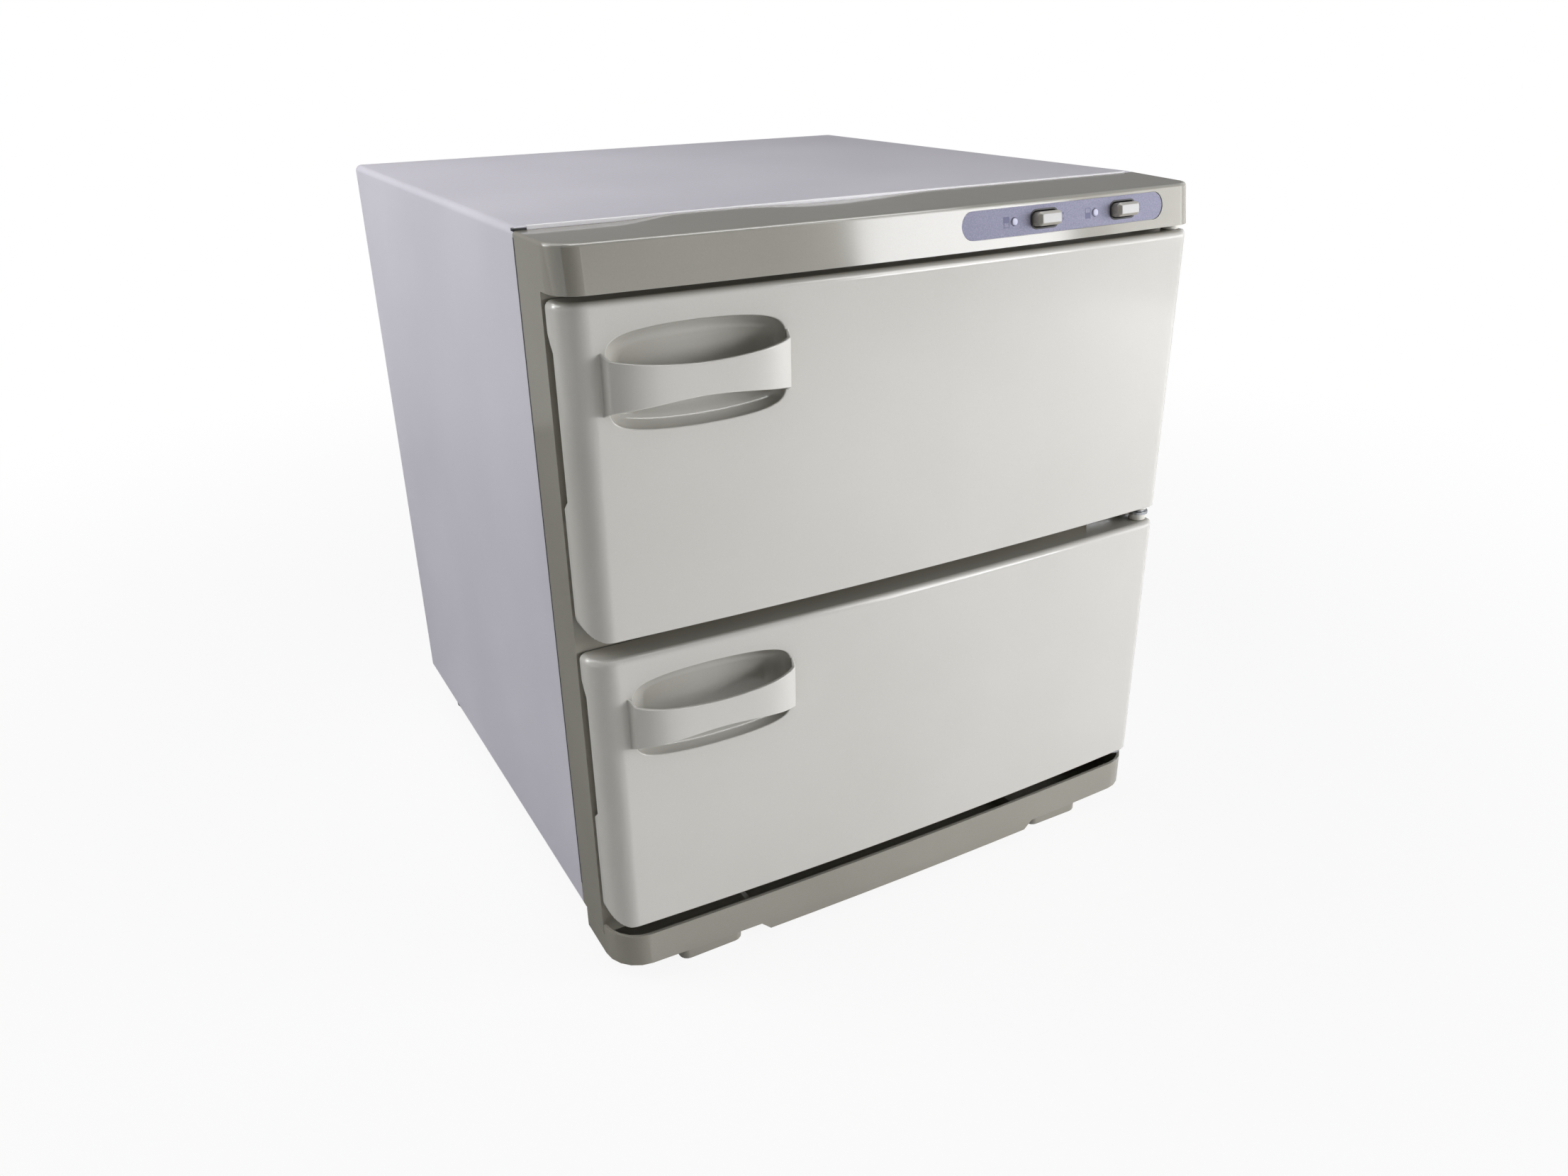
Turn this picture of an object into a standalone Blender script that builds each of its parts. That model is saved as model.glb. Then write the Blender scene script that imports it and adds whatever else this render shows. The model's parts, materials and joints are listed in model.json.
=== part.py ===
# Two-door hot-towel cabinet: a sheet-steel wrap behind a moulded front frame, two pin-hinged doors
# with strap handles, two heated chambers, a drip tray and two push switches.
import math

import bmesh
import bpy
from mathutils import Matrix, Vector

# Sizes in metres. X runs right, Y back and Z up. Places are measured from the shell's front edge,
# its bottom edge and the centre line, and the cabinet empty moves that datum to the part's origin.
CLEARANCE = 0.0003          # seat gap between neighbouring pieces
CUT_OVERRUN = 0.002         # how far a cutter runs past the wall it opens

# Sheet-steel wrap
SHEET = 0.001
SHELL_WIDTH = 0.450
SHELL_DEPTH = 0.407
SHELL_HEIGHT = 0.456
SHELL_BEND = 0.0045
SHELL_FLANGE = 0.014
HEM_DROP = 0.0026           # folded lip at the top's front edge
HEM_ROLL = 0.0012
HEM_MARGIN = 0.008          # open slot left at each end of the lip
FOOT_HEIGHT = 0.026

# Moulded front frame with its overhanging header
FRAME_DEPTH = 0.038
FRAME_WALL = 0.003
FRAME_STILE = 0.029
FRAME_LIP = 0.010           # rear lip that slips inside the wrap
FRAME_LIP_DROP = 0.0011
BAY_FILLET = 0.0015         # under the header, on the doors' side
BAY_INNER_FILLET = 0.008
HEADER_STEP = 0.0022
HEADER_HEIGHT = 0.026
HEADER_PROUD = 0.002        # header's lower edge ahead of the door faces
HEADER_LEAN = 0.004
HEADER_CORNER = 0.0165
HEADER_EDGE = 0.002
FRONT_BOW = 0.0065          # header and doors stand further out in the middle than at their ends
OPENING_OVERLAP = 0.015     # door over the frame, above and below each opening
OPENING_CORNER = 0.006

# Doors
DOOR_THICKNESS = 0.020
DOOR_STANDOFF = 0.0025
DOOR_LATCH_INSET = 0.001
DOOR_HINGE_INSET = 0.002
DOOR_SILL = 0.0158
DOOR_GAP = 0.012
DOOR_HEAD_GAP = 0.0040
DOOR_WALL = 0.003
DOOR_LATCH_ROUND = 0.017
DOOR_LATCH_BLOCK = 0.018    # solid depth of the latch edge
DOOR_HINGE_BLOCK = 0.015    # solid depth of the hinge edge, inside the pin axis
DOOR_TOP_ROUND = 0.0045
DOOR_BOTTOM_ROUND = 0.0016
DOOR_CORNER = 0.005         # corners of the hollow and its lining
DOOR_HINGE_CORNER = 0.0045
DOOR_LOW_CORNER = 0.020     # latch side, in front view
NOTCH_FROM_TOP = 0.0165     # finger relief in the latch edge
NOTCH_LENGTH = 0.101
NOTCH_DEPTH = 0.0055
NOTCH_REACH = 0.009

# Handle: a bowed strap over a scooped pocket
POCKET_WIDTH = 0.1085
POCKET_HEIGHT = 0.0584
POCKET_DEPTH = 0.014
POCKET_WALL = 0.0025
POCKET_RIM = 0.0012
POCKET_POWER = 3.8
POCKET_FROM_LATCH = 0.0770
POCKET_FROM_TOP = 0.0433
STRAP_BOW = 0.015
STRAP_THICKNESS = 0.0026
STRAP_END_HEIGHT = 0.0357
STRAP_MIDDLE_HEIGHT = 0.0202
STRAP_ROOT = 0.0085         # depth of the strap's ends in the pocket's end walls
STRAP_POWER = 3.4
STRAP_ROUND = 0.0009

# Door lining and seal
DOOR_LINER_PLATE = 0.0022
DOOR_PLUG_DEPTH = 0.0105
DOOR_PLUG_MARGIN = 0.007
DOOR_PLUG_DRAFT = 0.005
FOAM_FROM_POCKET = 0.003
GASKET_WIDTH = 0.008
GASKET_MARGIN = 0.002

# Hinges
PIN_DIAMETER = 0.006
PIN_FIT = 0.0003
PIN_HEAD_DIAMETER = 0.011
PIN_HEAD = 0.0012
BUSH_DIAMETER = 0.010
BUSH_LENGTH = 0.012
BUSH_FLANGE_DIAMETER = 0.0124
BRACKET_PLATE = 0.002
BRACKET_LEAF = 0.0015       # upright leaf on the frame, thinner than the door's standoff
BRACKET_LEAF_LENGTH = 0.046
BRACKET_NOSE_RADIUS = 0.0075
BRACKET_LEAF_MARGIN = 0.001
BOTTOM_BUSH_FLANGE = 0.0015
WASHER = 0.0008

# Magnetic catches
CATCH_HEIGHT = 0.055        # above each door's lower edge
CATCH_FROM_LATCH = 0.010
CATCH_WIDTH = 0.008
CATCH_LENGTH = 0.030
CATCH_DEPTH = 0.010
CATCH_PROUD = 0.0004
STRIKE_PLATE = 0.0012
STRIKE_MARGIN = 0.0015

# Chambers
LINER_SHEET = 0.001
LINER_FLANGE = 0.008
LINER_BACK_SPACE = 0.077
INSULATION = 0.012
HEATER_DIAMETER = 0.006
HEATER_PASSES = 4
HEATER_MARGIN = 0.030
THERMOSTAT_DIAMETER = 0.018
THERMOSTAT_HEIGHT = 0.008
FUSE_DIAMETER = 0.008
FUSE_LENGTH = 0.024
SENSOR_SPACING = 0.034
SENSOR_WINDOW = 0.003       # air round the sensors in the insulation
RACK_WIRE = 0.003
RACK_BEARER = 0.004
RACK_WELD = 0.0008
RACK_MARGIN = 0.006
RACK_WIRES = 9
RACK_BEARERS = 2

# Drip tray and feet
TRAY_PROUD = 0.0027
TRAY_BOW = 0.0048
TRAY_WALL = 0.0022
TRAY_DROP = 0.0155
TRAY_SUMP = 0.0065
TRAY_SHOULDER = 0.112       # raised floor at each end, outside the sump
TRAY_SUMP_SLOPE = 0.007
TRAY_LIP = 0.0085
TRAY_CORNER = 0.024
TRAY_REAR_SETBACK = 0.006
TRAY_HEADROOM = 0.0005
FOOT_FROM_SIDE = 0.074
FOOT_SHIFT = -0.0048        # both front feet stand a little towards the latch side
FOOT_WIDTH = 0.047
FOOT_SETBACK = 0.0033       # pad's front behind the tray's front
FOOT_CORNER = 0.006
FOOT_EDGE = 0.0015
FOOT_POST = 0.027
FOOT_POST_INSET = 0.0015
REAR_FOOT_DIAMETER = 0.030
REAR_FOOT_TAPER = 0.003
REAR_FOOT_FROM_SIDE = 0.020
REAR_FOOT_FROM_BACK = 0.049

# Control strip in the header
LABEL_LENGTH = 0.166
LABEL_HEIGHT = 0.0176
LABEL_FROM_SIDE = 0.0325    # label's right end inside the shell's side
LABEL_RISE = 0.0014
LABEL_RECESS = 0.0008
LABEL_FILM = 0.0005
SWITCH_AHEAD = 0.0188       # first switch to the left of the label's centre
SWITCH_PITCH = 0.0659
CAP_LENGTH = 0.0193
CAP_HEIGHT = 0.0086
CAP_CORNER = 0.0028
CAP_PROUD = 0.0065
CAP_CHAMFER = 0.0013
CAP_TRAVEL = 0.003
CAP_SLOT = 0.0009           # dark gap round each cap
CAP_STEM = 0.009
SWITCH_BODY_WALL = 0.0025
SWITCH_BODY_BLOCK = 0.012
LAMP_DIAMETER = 0.0046
LAMP_AHEAD = 0.0241         # lamp to the left of its switch
LAMP_PROUD = 0.0006
LAMP_BODY = 0.009

# Back and base
BASE_FOLD = 0.010
BASE_VENTS = 4
PANEL_MARGIN = 0.004
VENT_LENGTH = 0.060
VENT_WIDTH = 0.004
VENT_PITCH = 0.016
VENT_ROWS = 6
VENT_OFFSET = 0.100
VENT_CENTRE_HEIGHT = 0.330
GLAND_FROM_SIDE = 0.075
GLAND_HEIGHT = 0.060
GLAND_NECK = 0.016
GLAND_FLANGE_DIAMETER = 0.024
GLAND_FLANGE = 0.004
GLAND_BORE = 0.008
GLAND_TAIL = 0.008
TERMINAL_LENGTH = 0.060
TERMINAL_WIDTH = 0.020
TERMINAL_HEIGHT = 0.016
TERMINAL_WAYS = 5
TERMINAL_FROM_BACK = 0.030
LOOM_DIAMETER = 0.007
LOOM_BEND = 0.020

ARC_STEPS = 5
ROUND_STEPS = 16
PIN_STEPS = 12
BOW_STEPS = 10

# Places that follow from the sizes
HALF_WIDTH = SHELL_WIDTH / 2
HEADER_TOP = SHELL_HEIGHT - HEADER_STEP
HEADER_BOTTOM = HEADER_TOP - HEADER_HEIGHT
DOOR_HEIGHT = (HEADER_BOTTOM - DOOR_HEAD_GAP - DOOR_GAP - DOOR_SILL) / 2
LOWER_DOOR = DOOR_SILL
UPPER_DOOR = DOOR_SILL + DOOR_HEIGHT + DOOR_GAP
FRAME_FRONT = -FRAME_DEPTH
FRAME_INNER = FRAME_FRONT + FRAME_WALL
DOOR_REAR = FRAME_FRONT - DOOR_STANDOFF
DOOR_FACE = DOOR_REAR - DOOR_THICKNESS
DOOR_LEFT = -HALF_WIDTH + DOOR_LATCH_INSET
DOOR_RIGHT = HALF_WIDTH - DOOR_HINGE_INSET
HINGE_X = DOOR_RIGHT - DOOR_THICKNESS / 2
HINGE_Y = DOOR_REAR - DOOR_THICKNESS / 2
HEADER_FRONT = DOOR_FACE - HEADER_PROUD
TRAY_FRONT = DOOR_FACE - TRAY_PROUD
OPENING_HALF = HALF_WIDTH - FRAME_STILE
TRAY_SUMP_HALF = HALF_WIDTH - TRAY_SHOULDER
FOOT_CENTRE = HALF_WIDTH - FOOT_FROM_SIDE
LABEL_CENTRE = HALF_WIDTH - LABEL_FROM_SIDE - LABEL_LENGTH / 2
SWITCH_FIRST = LABEL_CENTRE - SWITCH_AHEAD
GLAND_X = GLAND_FROM_SIDE - HALF_WIDTH
LINER_FRONT = FRAME_INNER + CLEARANCE
LINER_BACK = SHELL_DEPTH - LINER_BACK_SPACE
PANEL_BACK = SHELL_DEPTH + CLEARANCE + SHEET
GLAND_BACK = PANEL_BACK + CLEARANCE + GLAND_FLANGE
BASE_BOTTOM = SHEET + CLEARANCE
BASE_TOP = BASE_BOTTOM + SHEET

# Colour (linear), roughness and metallic value of each finish
FINISHES = {
    "shell_paint": ((0.60, 0.585, 0.66), 0.38, 0.0),
    "grey_moulding": ((0.34, 0.33, 0.285), 0.22, 0.0),
    "white_moulding": ((0.74, 0.725, 0.675), 0.20, 0.0),
    "label_film": ((0.31, 0.31, 0.47), 0.45, 0.0),
    "lamp_lens": ((0.85, 0.85, 0.90), 0.15, 0.0),
    "switch_black": ((0.02, 0.02, 0.022), 0.50, 0.0),
    "liner_aluminium": ((0.80, 0.81, 0.82), 0.34, 1.0),
    "plain_steel": ((0.62, 0.63, 0.64), 0.32, 1.0),
    "chrome_wire": ((0.75, 0.76, 0.77), 0.12, 1.0),
    "glass_wool": ((0.72, 0.64, 0.36), 0.95, 0.0),
    "core_foam": ((0.80, 0.78, 0.70), 0.95, 0.0),
    "heater_sheath": ((0.30, 0.27, 0.25), 0.45, 1.0),
    "bakelite": ((0.05, 0.035, 0.03), 0.40, 0.0),
    "nylon": ((0.78, 0.77, 0.72), 0.40, 0.0),
    "seal_rubber": ((0.42, 0.42, 0.40), 0.70, 0.0),
    "black_rubber": ((0.018, 0.018, 0.020), 0.75, 0.0),
    "magnet_ferrite": ((0.05, 0.05, 0.055), 0.60, 0.0),
    "terminal_white": ((0.70, 0.68, 0.62), 0.45, 0.0),
    "loom_sleeve": ((0.03, 0.03, 0.032), 0.60, 0.0),
}


def clear_scene():
    for thing in list(bpy.data.objects):
        bpy.data.objects.remove(thing, do_unlink=True)


# Outlines and solids
def rounded_outline(a0, a1, b0, b1, radii, steps=ARC_STEPS):
    """Counter-clockwise points of a rectangle; radii are low left, low right, high right, high left.
    A radius of zero gives one sharp corner point."""
    centres = (
        (a0 + radii[0], b0 + radii[0], radii[0], math.pi),
        (a1 - radii[1], b0 + radii[1], radii[1], 1.5 * math.pi),
        (a1 - radii[2], b1 - radii[2], radii[2], 0.0),
        (a0 + radii[3], b1 - radii[3], radii[3], 0.5 * math.pi),
    )
    points = []
    for ca, cb, radius, start in centres:
        if radius == 0:
            points.append((ca, cb))
            continue
        for step in range(steps + 1):
            turn = start + 0.5 * math.pi * step / steps
            points.append((ca + radius * math.cos(turn), cb + radius * math.sin(turn)))
    return points


def circle(radius, steps=ROUND_STEPS):
    turns = (2 * math.pi * step / steps for step in range(steps))
    return [(radius * math.cos(turn), radius * math.sin(turn)) for turn in turns]


def superellipse(half_a, half_b, power, steps):
    points = []
    for step in range(steps):
        turn = 2 * math.pi * step / steps
        c, s = math.cos(turn), math.sin(turn)
        points.append((
            math.copysign(half_a * abs(c) ** (2 / power), c),
            math.copysign(half_b * abs(s) ** (2 / power), s),
        ))
    return points


def bow(x, rise=FRONT_BOW):
    """How far the bowed front stands ahead of its ends at a place across the width."""
    return rise * max(0.0, 1 - (x / HALF_WIDTH) ** 2)


def bowed_row(x0, x1, y, rise=FRONT_BOW):
    """Points between two ends of a bowed front, the ends left out."""
    places = (x0 + (x1 - x0) * step / BOW_STEPS for step in range(1, BOW_STEPS))
    return [(x, y - bow(x, rise)) for x in places]


def bowed_outline(half, front, rear, corner, rise):
    """Plan outline with a bowed front between two rounded corners and a straight rear."""
    outline = rounded_outline(-half, half, front, rear, (corner, corner, 0, 0))
    count = ARC_STEPS + 1
    curve = [(x, y - bow(x, rise)) for x, y in outline[:2 * count]]
    row = bowed_row(corner - half, half - corner, front, rise)
    return curve[:count] + row + curve[count:] + outline[2 * count:]


def at_x(outline, x):
    return [Vector((x, a, b)) for a, b in outline]


def at_y(outline, y):
    return [Vector((a, y, b)) for a, b in outline]


def at_z(outline, z):
    return [Vector((a, b, z)) for a, b in outline]


def mesh_object(name, bm):
    bmesh.ops.recalc_face_normals(bm, faces=bm.faces)
    mesh = bpy.data.meshes.new(name)
    bm.to_mesh(mesh)
    bm.free()
    thing = bpy.data.objects.new(name, mesh)
    bpy.context.collection.objects.link(thing)
    return thing


def loft(name, rings, hoop=False):
    """Skin over rings of equal count: capped at both ends, or closed on itself as a hoop."""
    bm = bmesh.new()
    loops = [[bm.verts.new(point) for point in ring] for ring in rings]
    pairs = list(zip(loops, loops[1:]))
    if hoop:
        pairs.append((loops[-1], loops[0]))
    else:
        bm.faces.new(loops[0])
        bm.faces.new(loops[-1])
    for first, second in pairs:
        for i in range(len(first)):
            j = (i + 1) % len(first)
            bm.faces.new((first[i], first[j], second[j], second[i]))
    return mesh_object(name, bm)


def box(name, x0, x1, y0, y1, z0, z1):
    outline = [(x0, y0), (x1, y0), (x1, y1), (x0, y1)]
    return loft(name, [at_z(outline, z0), at_z(outline, z1)])


def turned(name, profile, hoop=False, steps=ROUND_STEPS):
    """Turns (radius, height) points about Z; a hoop's profile goes all round its section."""
    return loft(name, [at_z(circle(radius, steps), height) for radius, height in profile], hoop)


def tube(name, points, diameter, sides=6):
    """Round rod along a polyline, its section carried square to the path from point to point."""
    path = [Vector(point) for point in points]
    aim = (path[1] - path[0]).normalized()
    side = aim.orthogonal().normalized()
    rings = []
    for i, point in enumerate(path):
        ahead = (path[min(i + 1, len(path) - 1)] - point).normalized()
        behind = (point - path[max(i - 1, 0)]).normalized()
        turn = (ahead + behind).normalized()
        side = aim.rotation_difference(turn) @ side
        aim = turn
        up = aim.cross(side)
        rings.append([point + side * a + up * b for a, b in circle(diameter / 2, sides)])
    return loft(name, rings)


def boolean(target, tool, operation):
    modifier = target.modifiers.new(operation, "BOOLEAN")
    modifier.operation = operation
    modifier.solver = "EXACT"
    modifier.object = tool
    graph = bpy.context.evaluated_depsgraph_get()
    result = bpy.data.meshes.new_from_object(target.evaluated_get(graph))
    target.modifiers.clear()
    target.data = result
    bpy.data.objects.remove(tool, do_unlink=True)


def cut(target, tool):
    boolean(target, tool, "DIFFERENCE")


def join(target, tool):
    boolean(target, tool, "UNION")


def keep(target, tool):
    boolean(target, tool, "INTERSECT")


def moved(thing, matrix):
    thing.data.transform(matrix)
    return thing


# Empties carry the pieces: the cabinet's datum, one on each joint axis and one on the header's face
def empty(name, place, parent=None):
    thing = bpy.data.objects.new(name, None)
    thing.matrix_local = place
    thing.parent = parent
    bpy.context.collection.objects.link(thing)
    return thing


def material(name, finish):
    colour, roughness, metallic = FINISHES[finish]
    look = bpy.data.materials.new(name + "_finish")
    look.use_nodes = True
    shader = look.node_tree.nodes["Principled BSDF"]
    shader.inputs["Base Color"].default_value = (*colour, 1)
    shader.inputs["Roughness"].default_value = roughness
    shader.inputs["Metallic"].default_value = metallic
    look.diffuse_color = (*colour, 1)
    return look


def piece(thing, finish, parent, offset=None):
    """Gives a finished piece its material and hangs it on an empty, offset from the empty's datum."""
    if offset is not None:
        thing.data.transform(Matrix.Translation(-offset))
    thing.data.shade_smooth()
    thing.data.set_sharp_from_angle(angle=math.radians(32))
    thing.data.materials.clear()
    thing.data.materials.append(material(thing.name, finish))
    thing.parent = parent
    return thing


# Sheet-metal wrap, back and base
def outer_shell():
    def section(inset, low, drop=0.0):
        radius = SHELL_BEND - inset
        return rounded_outline(
            -HALF_WIDTH + inset, HALF_WIDTH - inset, low, SHELL_HEIGHT - inset - drop,
            (0, 0, radius, radius),
        )

    front = CLEARANCE
    roll = [
        (front + HEM_ROLL * (1 - math.sin(turn)), HEM_ROLL * (1 - math.cos(turn)))
        for turn in (0.5 * math.pi * step / 4 for step in range(5))
    ]
    rings = [at_y(section(0, 0, drop), y) for y, drop in reversed(roll)]
    shell = loft("outer_shell", rings + [at_y(section(0, 0), SHELL_DEPTH)])
    inner = [at_y(section(SHEET, SHEET), y) for y in (HEM_ROLL + SHEET, SHELL_DEPTH - SHEET)]
    mouth = [at_y(section(SHEET, SHEET, HEM_ROLL), y) for y in (-CUT_OVERRUN, HEM_ROLL + SHEET / 2)]
    cut(shell, loft("shell_hollow", mouth + inner))
    side = HALF_WIDTH - SHELL_FLANGE
    cut(shell, box(
        "base_opening", -side, side, -CUT_OVERRUN, SHELL_DEPTH - SHELL_FLANGE,
        -CUT_OVERRUN, SHEET + CUT_OVERRUN,
    ))
    cut(shell, box(
        "back_opening", -side, side, SHELL_DEPTH - SHEET - CUT_OVERRUN, SHELL_DEPTH + CUT_OVERRUN,
        SHELL_FLANGE, SHELL_HEIGHT - SHELL_FLANGE,
    ))
    hem = HALF_WIDTH - HEM_MARGIN
    top = SHELL_HEIGHT - HEM_ROLL - SHEET / 2
    join(shell, box("hem", -hem, hem, front, front + SHEET, SHELL_HEIGHT - HEM_DROP, top))
    return shell


def vent_slots(name, count, length, pitch):
    """Cutters for a column of round-ended slots, centred, in the XZ plane."""
    slots = []
    for row in range(count):
        height = (row - (count - 1) / 2) * pitch
        end = VENT_WIDTH / 2
        outline = rounded_outline(-length / 2, length / 2, height - end, height + end, (end * 0.98,) * 4, 2)
        slots.append(loft(name, [at_y(outline, -CUT_OVERRUN - SHEET), at_y(outline, CUT_OVERRUN)]))
    return slots


def rear_panel():
    side = HALF_WIDTH - PANEL_MARGIN
    outline = rounded_outline(-side, side, PANEL_MARGIN, SHELL_HEIGHT - PANEL_MARGIN, (PANEL_MARGIN,) * 4, 3)
    panel = loft("rear_panel", [at_y(outline, PANEL_BACK - SHEET), at_y(outline, PANEL_BACK)])
    for x in (-VENT_OFFSET, VENT_OFFSET):
        for slot in vent_slots("panel_vent", VENT_ROWS, VENT_LENGTH, VENT_PITCH):
            cut(panel, moved(slot, Matrix.Translation((x, PANEL_BACK, VENT_CENTRE_HEIGHT))))
    bore = turned("gland_hole", [
        (GLAND_NECK / 2 + CLEARANCE, -SHEET - CUT_OVERRUN), (GLAND_NECK / 2 + CLEARANCE, CUT_OVERRUN),
    ])
    cut(panel, moved(bore, gland_place()))
    return panel


def gland_place():
    """Turned pieces at the gland run along Y, with height zero at the panel's back."""
    return Matrix.Translation((GLAND_X, PANEL_BACK, GLAND_HEIGHT)) @ Matrix.Rotation(-math.pi / 2, 4, "X")


def cord_gland():
    neck, flange = GLAND_NECK / 2, GLAND_FLANGE_DIAMETER / 2
    bore = GLAND_BORE / 2
    tail = -SHEET - GLAND_TAIL
    gland = turned("cord_gland", [
        (bore, tail), (neck, tail), (neck, CLEARANCE), (flange, CLEARANCE),
        (flange, CLEARANCE + GLAND_FLANGE * 0.6), (flange - GLAND_FLANGE * 0.4, CLEARANCE + GLAND_FLANGE),
        (bore + GLAND_FLANGE * 0.4, CLEARANCE + GLAND_FLANGE), (bore, CLEARANCE + GLAND_FLANGE * 0.6),
    ], hoop=True)
    return moved(gland, gland_place())


def base_plate():
    side = HALF_WIDTH - SHEET - CLEARANCE
    section = [
        (-side, BASE_BOTTOM), (side, BASE_BOTTOM), (side, BASE_BOTTOM + BASE_FOLD),
        (side - SHEET, BASE_BOTTOM + BASE_FOLD), (side - SHEET, BASE_TOP), (-side + SHEET, BASE_TOP),
        (-side + SHEET, BASE_BOTTOM + BASE_FOLD), (-side, BASE_BOTTOM + BASE_FOLD),
    ]
    front = FRAME_LIP + CUT_OVERRUN
    back = SHELL_DEPTH - SHEET - CLEARANCE
    plate = loft("base_plate", [at_y(section, front), at_y(section, back)])
    lay_flat = Matrix.Translation((0, (front + back) / 2, BASE_TOP)) @ Matrix.Rotation(-math.pi / 2, 4, "X")
    for slot in vent_slots("base_vent", BASE_VENTS, VENT_LENGTH * 2, VENT_PITCH * 2):
        cut(plate, moved(slot, lay_flat @ Matrix.Translation((0, SHEET / 2, 0))))
    return plate


# Front frame
def header_reach(height):
    """Front face of the header at a height: plumb below its lower edge, leaning back above it."""
    rise = max(0.0, height - HEADER_BOTTOM)
    return HEADER_FRONT + HEADER_LEAN * rise / HEADER_HEIGHT


def frame_block(name, inset, rear, bottom):
    """The frame's outer form, or with an inset the hollow inside its walls."""
    corner = HEADER_CORNER - inset
    half = HALF_WIDTH - inset

    def ring(height, edge):
        front = header_reach(height - inset) + inset + edge
        return at_z(bowed_outline(half - edge, front, rear, corner, FRONT_BOW), height - inset)

    rings = [at_z(bowed_outline(half, HEADER_FRONT + inset, rear, corner, FRONT_BOW), bottom)]
    rings.append(ring(HEADER_BOTTOM + inset, 0))
    for step in range(5):
        turn = 0.5 * math.pi * step / 4
        drop, edge = HEADER_EDGE * (1 - math.sin(turn)), HEADER_EDGE * (1 - math.cos(turn))
        rings.append(ring(HEADER_TOP - drop, edge))
    return loft(name, rings)


def door_bay(name, wall, radius):
    """The space in front of the stiles and under the header, grown by a wall on request."""
    back, top = FRAME_FRONT + wall, HEADER_BOTTOM + wall
    far = HEADER_FRONT - FRAME_DEPTH
    points = [(far, -FRAME_DEPTH), (back, -FRAME_DEPTH)]
    for step in range(ARC_STEPS + 1):
        turn = 0.5 * math.pi * step / ARC_STEPS
        points.append((back - radius + radius * math.cos(turn), top - radius + radius * math.sin(turn)))
    points.append((far, top))
    side = HALF_WIDTH + CUT_OVERRUN
    return loft(name, [at_x(points, -side), at_x(points, side)])


def chamber_outline(door_bottom, grow, corner):
    low = door_bottom + OPENING_OVERLAP - grow
    high = door_bottom + DOOR_HEIGHT - OPENING_OVERLAP + grow
    return rounded_outline(-OPENING_HALF - grow, OPENING_HALF + grow, low, high, (corner,) * 4, 4)


def catch_span(door_bottom, margin=0.0):
    centre = DOOR_LEFT + CATCH_FROM_LATCH
    middle = door_bottom + CATCH_HEIGHT
    return (
        centre - CATCH_WIDTH / 2 - margin, centre + CATCH_WIDTH / 2 + margin,
        middle - CATCH_LENGTH / 2 - margin, middle + CATCH_LENGTH / 2 + margin,
    )


def front_frame():
    frame = frame_block("front_frame", 0, 0, 0)
    lip = HALF_WIDTH - SHEET - CLEARANCE
    lip_bend = SHELL_BEND - SHEET
    lip_outline = rounded_outline(
        -lip, lip, SHEET + CLEARANCE, HEADER_TOP - FRAME_LIP_DROP, (SHEET, SHEET, lip_bend, lip_bend),
    )
    join(frame, loft("rear_lip", [at_y(lip_outline, -FRAME_WALL), at_y(lip_outline, FRAME_LIP)]))
    hollow = frame_block("frame_hollow", FRAME_WALL, FRAME_LIP + CUT_OVERRUN, FRAME_WALL)
    cut(hollow, door_bay("inner_bay", FRAME_WALL, BAY_INNER_FILLET))
    cut(frame, door_bay("door_bay", 0, BAY_FILLET))
    cut(frame, hollow)
    for door_bottom in (LOWER_DOOR, UPPER_DOOR):
        outline = chamber_outline(door_bottom, 0, OPENING_CORNER)
        y0, y1 = FRAME_FRONT - CUT_OVERRUN, FRAME_INNER + CUT_OVERRUN
        cut(frame, loft("mouth", [at_y(outline, y0), at_y(outline, y1)]))
        x0, x1, z0, z1 = catch_span(door_bottom, CLEARANCE)
        cut(frame, box("catch_hole", x0, x1, y0, y1, z0, z1))
    pin_hole = turned("pin_hole", [
        (PIN_DIAMETER / 2 + CLEARANCE, HEADER_BOTTOM - CUT_OVERRUN),
        (PIN_DIAMETER / 2 + CLEARANCE, HEADER_BOTTOM + FRAME_WALL + CUT_OVERRUN),
    ])
    cut(frame, moved(pin_hole, hinge_axis(0)))
    for cutter in control_cutters(-FRAME_WALL - CUT_OVERRUN, CUT_OVERRUN):
        cut(frame, moved(cutter, FACE_PLACE))
    recess = label_band("label_recess", 0, -LABEL_RECESS, CUT_OVERRUN)
    cut(frame, moved(recess, FACE_PLACE))
    return frame


# Control strip, built flat on the header's face: X along it, Y up it and Z out of it
FACE_UP = Vector((0, HEADER_LEAN, HEADER_HEIGHT)).normalized()
FACE_OUT = Vector((1, 0, 0)).cross(FACE_UP)
FACE_MIDDLE = Vector((0, HEADER_FRONT + HEADER_LEAN / 2, HEADER_BOTTOM + HEADER_HEIGHT / 2))
FACE_TURN = Matrix((Vector((1, 0, 0)), FACE_UP, FACE_OUT)).transposed().to_4x4()
FACE_PLACE = Matrix.Translation(FACE_MIDDLE) @ FACE_TURN
SWITCH_CENTRES = (SWITCH_FIRST, SWITCH_FIRST + SWITCH_PITCH)


def bent(thing, x=0.0):
    """Carries a piece out with the bowed face; x is the place of the piece's own datum along it."""
    ahead = FACE_TURN.transposed() @ Vector((0, -1, 0))
    for vertex in thing.data.vertices:
        vertex.co += ahead * bow(x + vertex.co.x)
    return thing


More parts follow.
